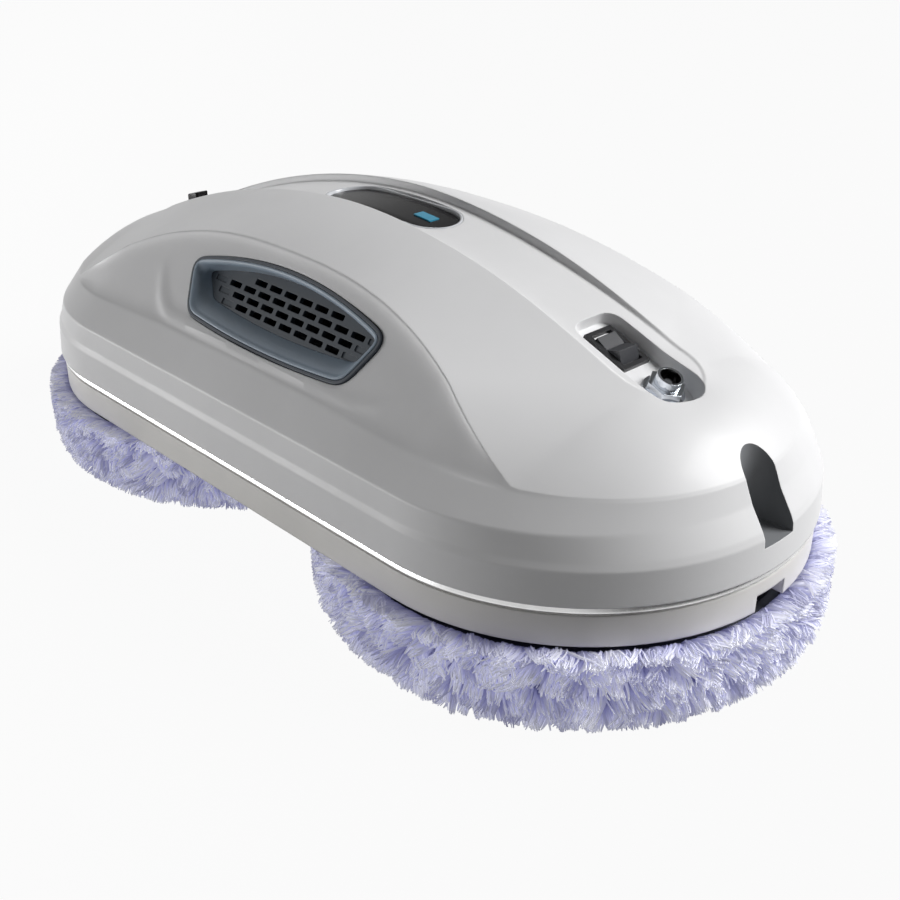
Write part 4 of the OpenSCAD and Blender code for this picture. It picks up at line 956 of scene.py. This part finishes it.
def makeSeam():
    rings = [raised(ring(shell["axleX"], r, r), z) for r, z in seam["section"]]
    addTube("seamStrip", rings, "seamSilver", wrap=True, body="chassis", slot="seam_plastic", replaces=("seam_trim",))


makeSeam()
print("seam made")

# CAD nodes that stay, by the starts of their names, each with its finish
nodeFinish = {
    "trayPlastic": ("base_tray",), "lightBlue": ("status_light",), "rockerGrey": ("rocker",),
    "switchBlack": ("switch_housing", "socket_insulator"), "barrelNickel": ("power_socket",),
    "nickel": ("socket_nut", "socket_washer", "socket_pin"), "brass": ("switch_blade", "hub_bush", "motor_pinion"),
    "wheelGrey": ("wheel_cord", "wheel_far"), "hookBlack": ("hook_ring",),
    "gearIvory": ("wheel_gear", "compound_gear", "impeller"),
    "steel": ("hub_clip", "gear_pin", "gear_plate", "fan_shaft", "shell_screws"),
    "canSteel": ("drive_motor", "fan_motor"),
    "ductGrey": ("channel_lid", "air_channel", "fan_housing", "fan_lid", "battery_tray"),
    "boardGreen": ("circuit_board",), "chipBlack": ("board_chip",), "capBlue": ("capacitor",),
    "cellBlue": ("battery_cell",),
}
for finish, starts in nodeFinish.items():
    for name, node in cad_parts.items():
        if name.startswith(starts):
            for place in node.material_slots:
                place.material = materials[finish]
print("CAD nodes dressed")

# Studio: a camera at the photograph's angle and soft light, both placed in metres
view = dict(place=(0.2749, -0.2368, 0.2020), azimuth=46.56, elevation=27.48, lens=50.22, sensor=36, near=0.01, far=50)
lights = {
    "keyLight": dict(place=(0.88, 0.88, 1.0), width=0.8, height=0.8, power=30),
    "sideFill": dict(place=(-1.0, -1.1, 0.08), width=1.2, height=0.14, power=9),
}
# How bright the floor and the room are: as seen, on the side of the fill, and opposite
floorLook = dict(half=6000, seen=0.95, toFill=(-0.65, -0.76), fade=(-0.05, 0.3), dark=0.16, pale=0.85)
roomLook = dict(seen=0.95, toFill=(-0.64, -0.77), fade=(-0.5, 0.3), bright=0.7, dim=0.05, lit=0.05)


def makeCamera():
    made = addObject("camera", bpy.data.cameras.new("camera"))
    turn, rise = np.radians(view["azimuth"]), np.radians(view["elevation"])
    back = Vector((np.sin(turn) * np.cos(rise), -np.cos(turn) * np.cos(rise), np.sin(rise)))
    made.location = view["place"]
    made.rotation_euler = (-back).to_track_quat("-Z", "Y").to_euler()
    made.data.sensor_width, made.data.lens = view["sensor"], view["lens"]
    made.data.clip_start, made.data.clip_end = view["near"], view["far"]
    bpy.context.scene.camera = made


def addLight(name, place, width, height, power):
    made = addObject(name, bpy.data.lights.new(name, "AREA"))
    made.data.shape = "RECTANGLE"
    made.data.energy, made.data.size, made.data.size_y = power, width, height
    made.location = place
    made.rotation_euler = (-Vector(place)).to_track_quat("-Z", "Y").to_euler()


def makeFloor():
    # nearly white where it is seen; else pale on the side of the fill and dark opposite
    made, wire, shader = startMaterial("paleFloor")
    seen = wire.maths("MAXIMUM", *wire.rays())
    pale = wire.towards("Object", floorLook["toFill"], floorLook["fade"])
    grey = wire.mix(pale, (floorLook["dark"],) * 3, (floorLook["pale"],) * 3)
    plain = wire.node("ShaderNodeBsdfDiffuse", None, {"Color": grey})
    bright = wire.node("ShaderNodeEmission", None, {"Color": (1, 1, 1), "Strength": 1.0})
    mixed = wire.node("ShaderNodeMixShader", None, {0: seen * floorLook["seen"], 1: plain, 2: bright})
    wire.fill(made.node_tree.nodes["Material Output"].inputs["Surface"], mixed)
    materials["paleFloor"] = made
    corners = np.array([(-1, -1, 0), (1, -1, 0), (1, 1, 0), (-1, 1, 0)]) * floorLook["half"]
    piece = addMesh("floor", corners, [(0, 1, 2, 3)], "paleFloor")


def makeWorld():
    # metal and glass see a bright room on the side of the fill and a dark one opposite
    world = bpy.data.worlds.new("studio")
    bpy.context.scene.world = world
    world.use_nodes = True
    wire = Wire(world.node_tree)
    ground = world.node_tree.nodes["Background"]
    camera, glossy = wire.rays()
    side = wire.towards("Generated", roomLook["toFill"], roomLook["fade"])
    reflected = glossy * (side * roomLook["bright"] + roomLook["dim"])
    wire.fill(ground.inputs["Color"], (1, 1, 1))
    wire.fill(ground.inputs["Strength"], camera * roomLook["seen"] + reflected + roomLook["lit"])


makeCamera()
for name, values in lights.items():
    addLight(name, **values)
makeFloor()
makeWorld()
bpy.context.scene.view_settings.view_transform = "Standard"
print("studio made")
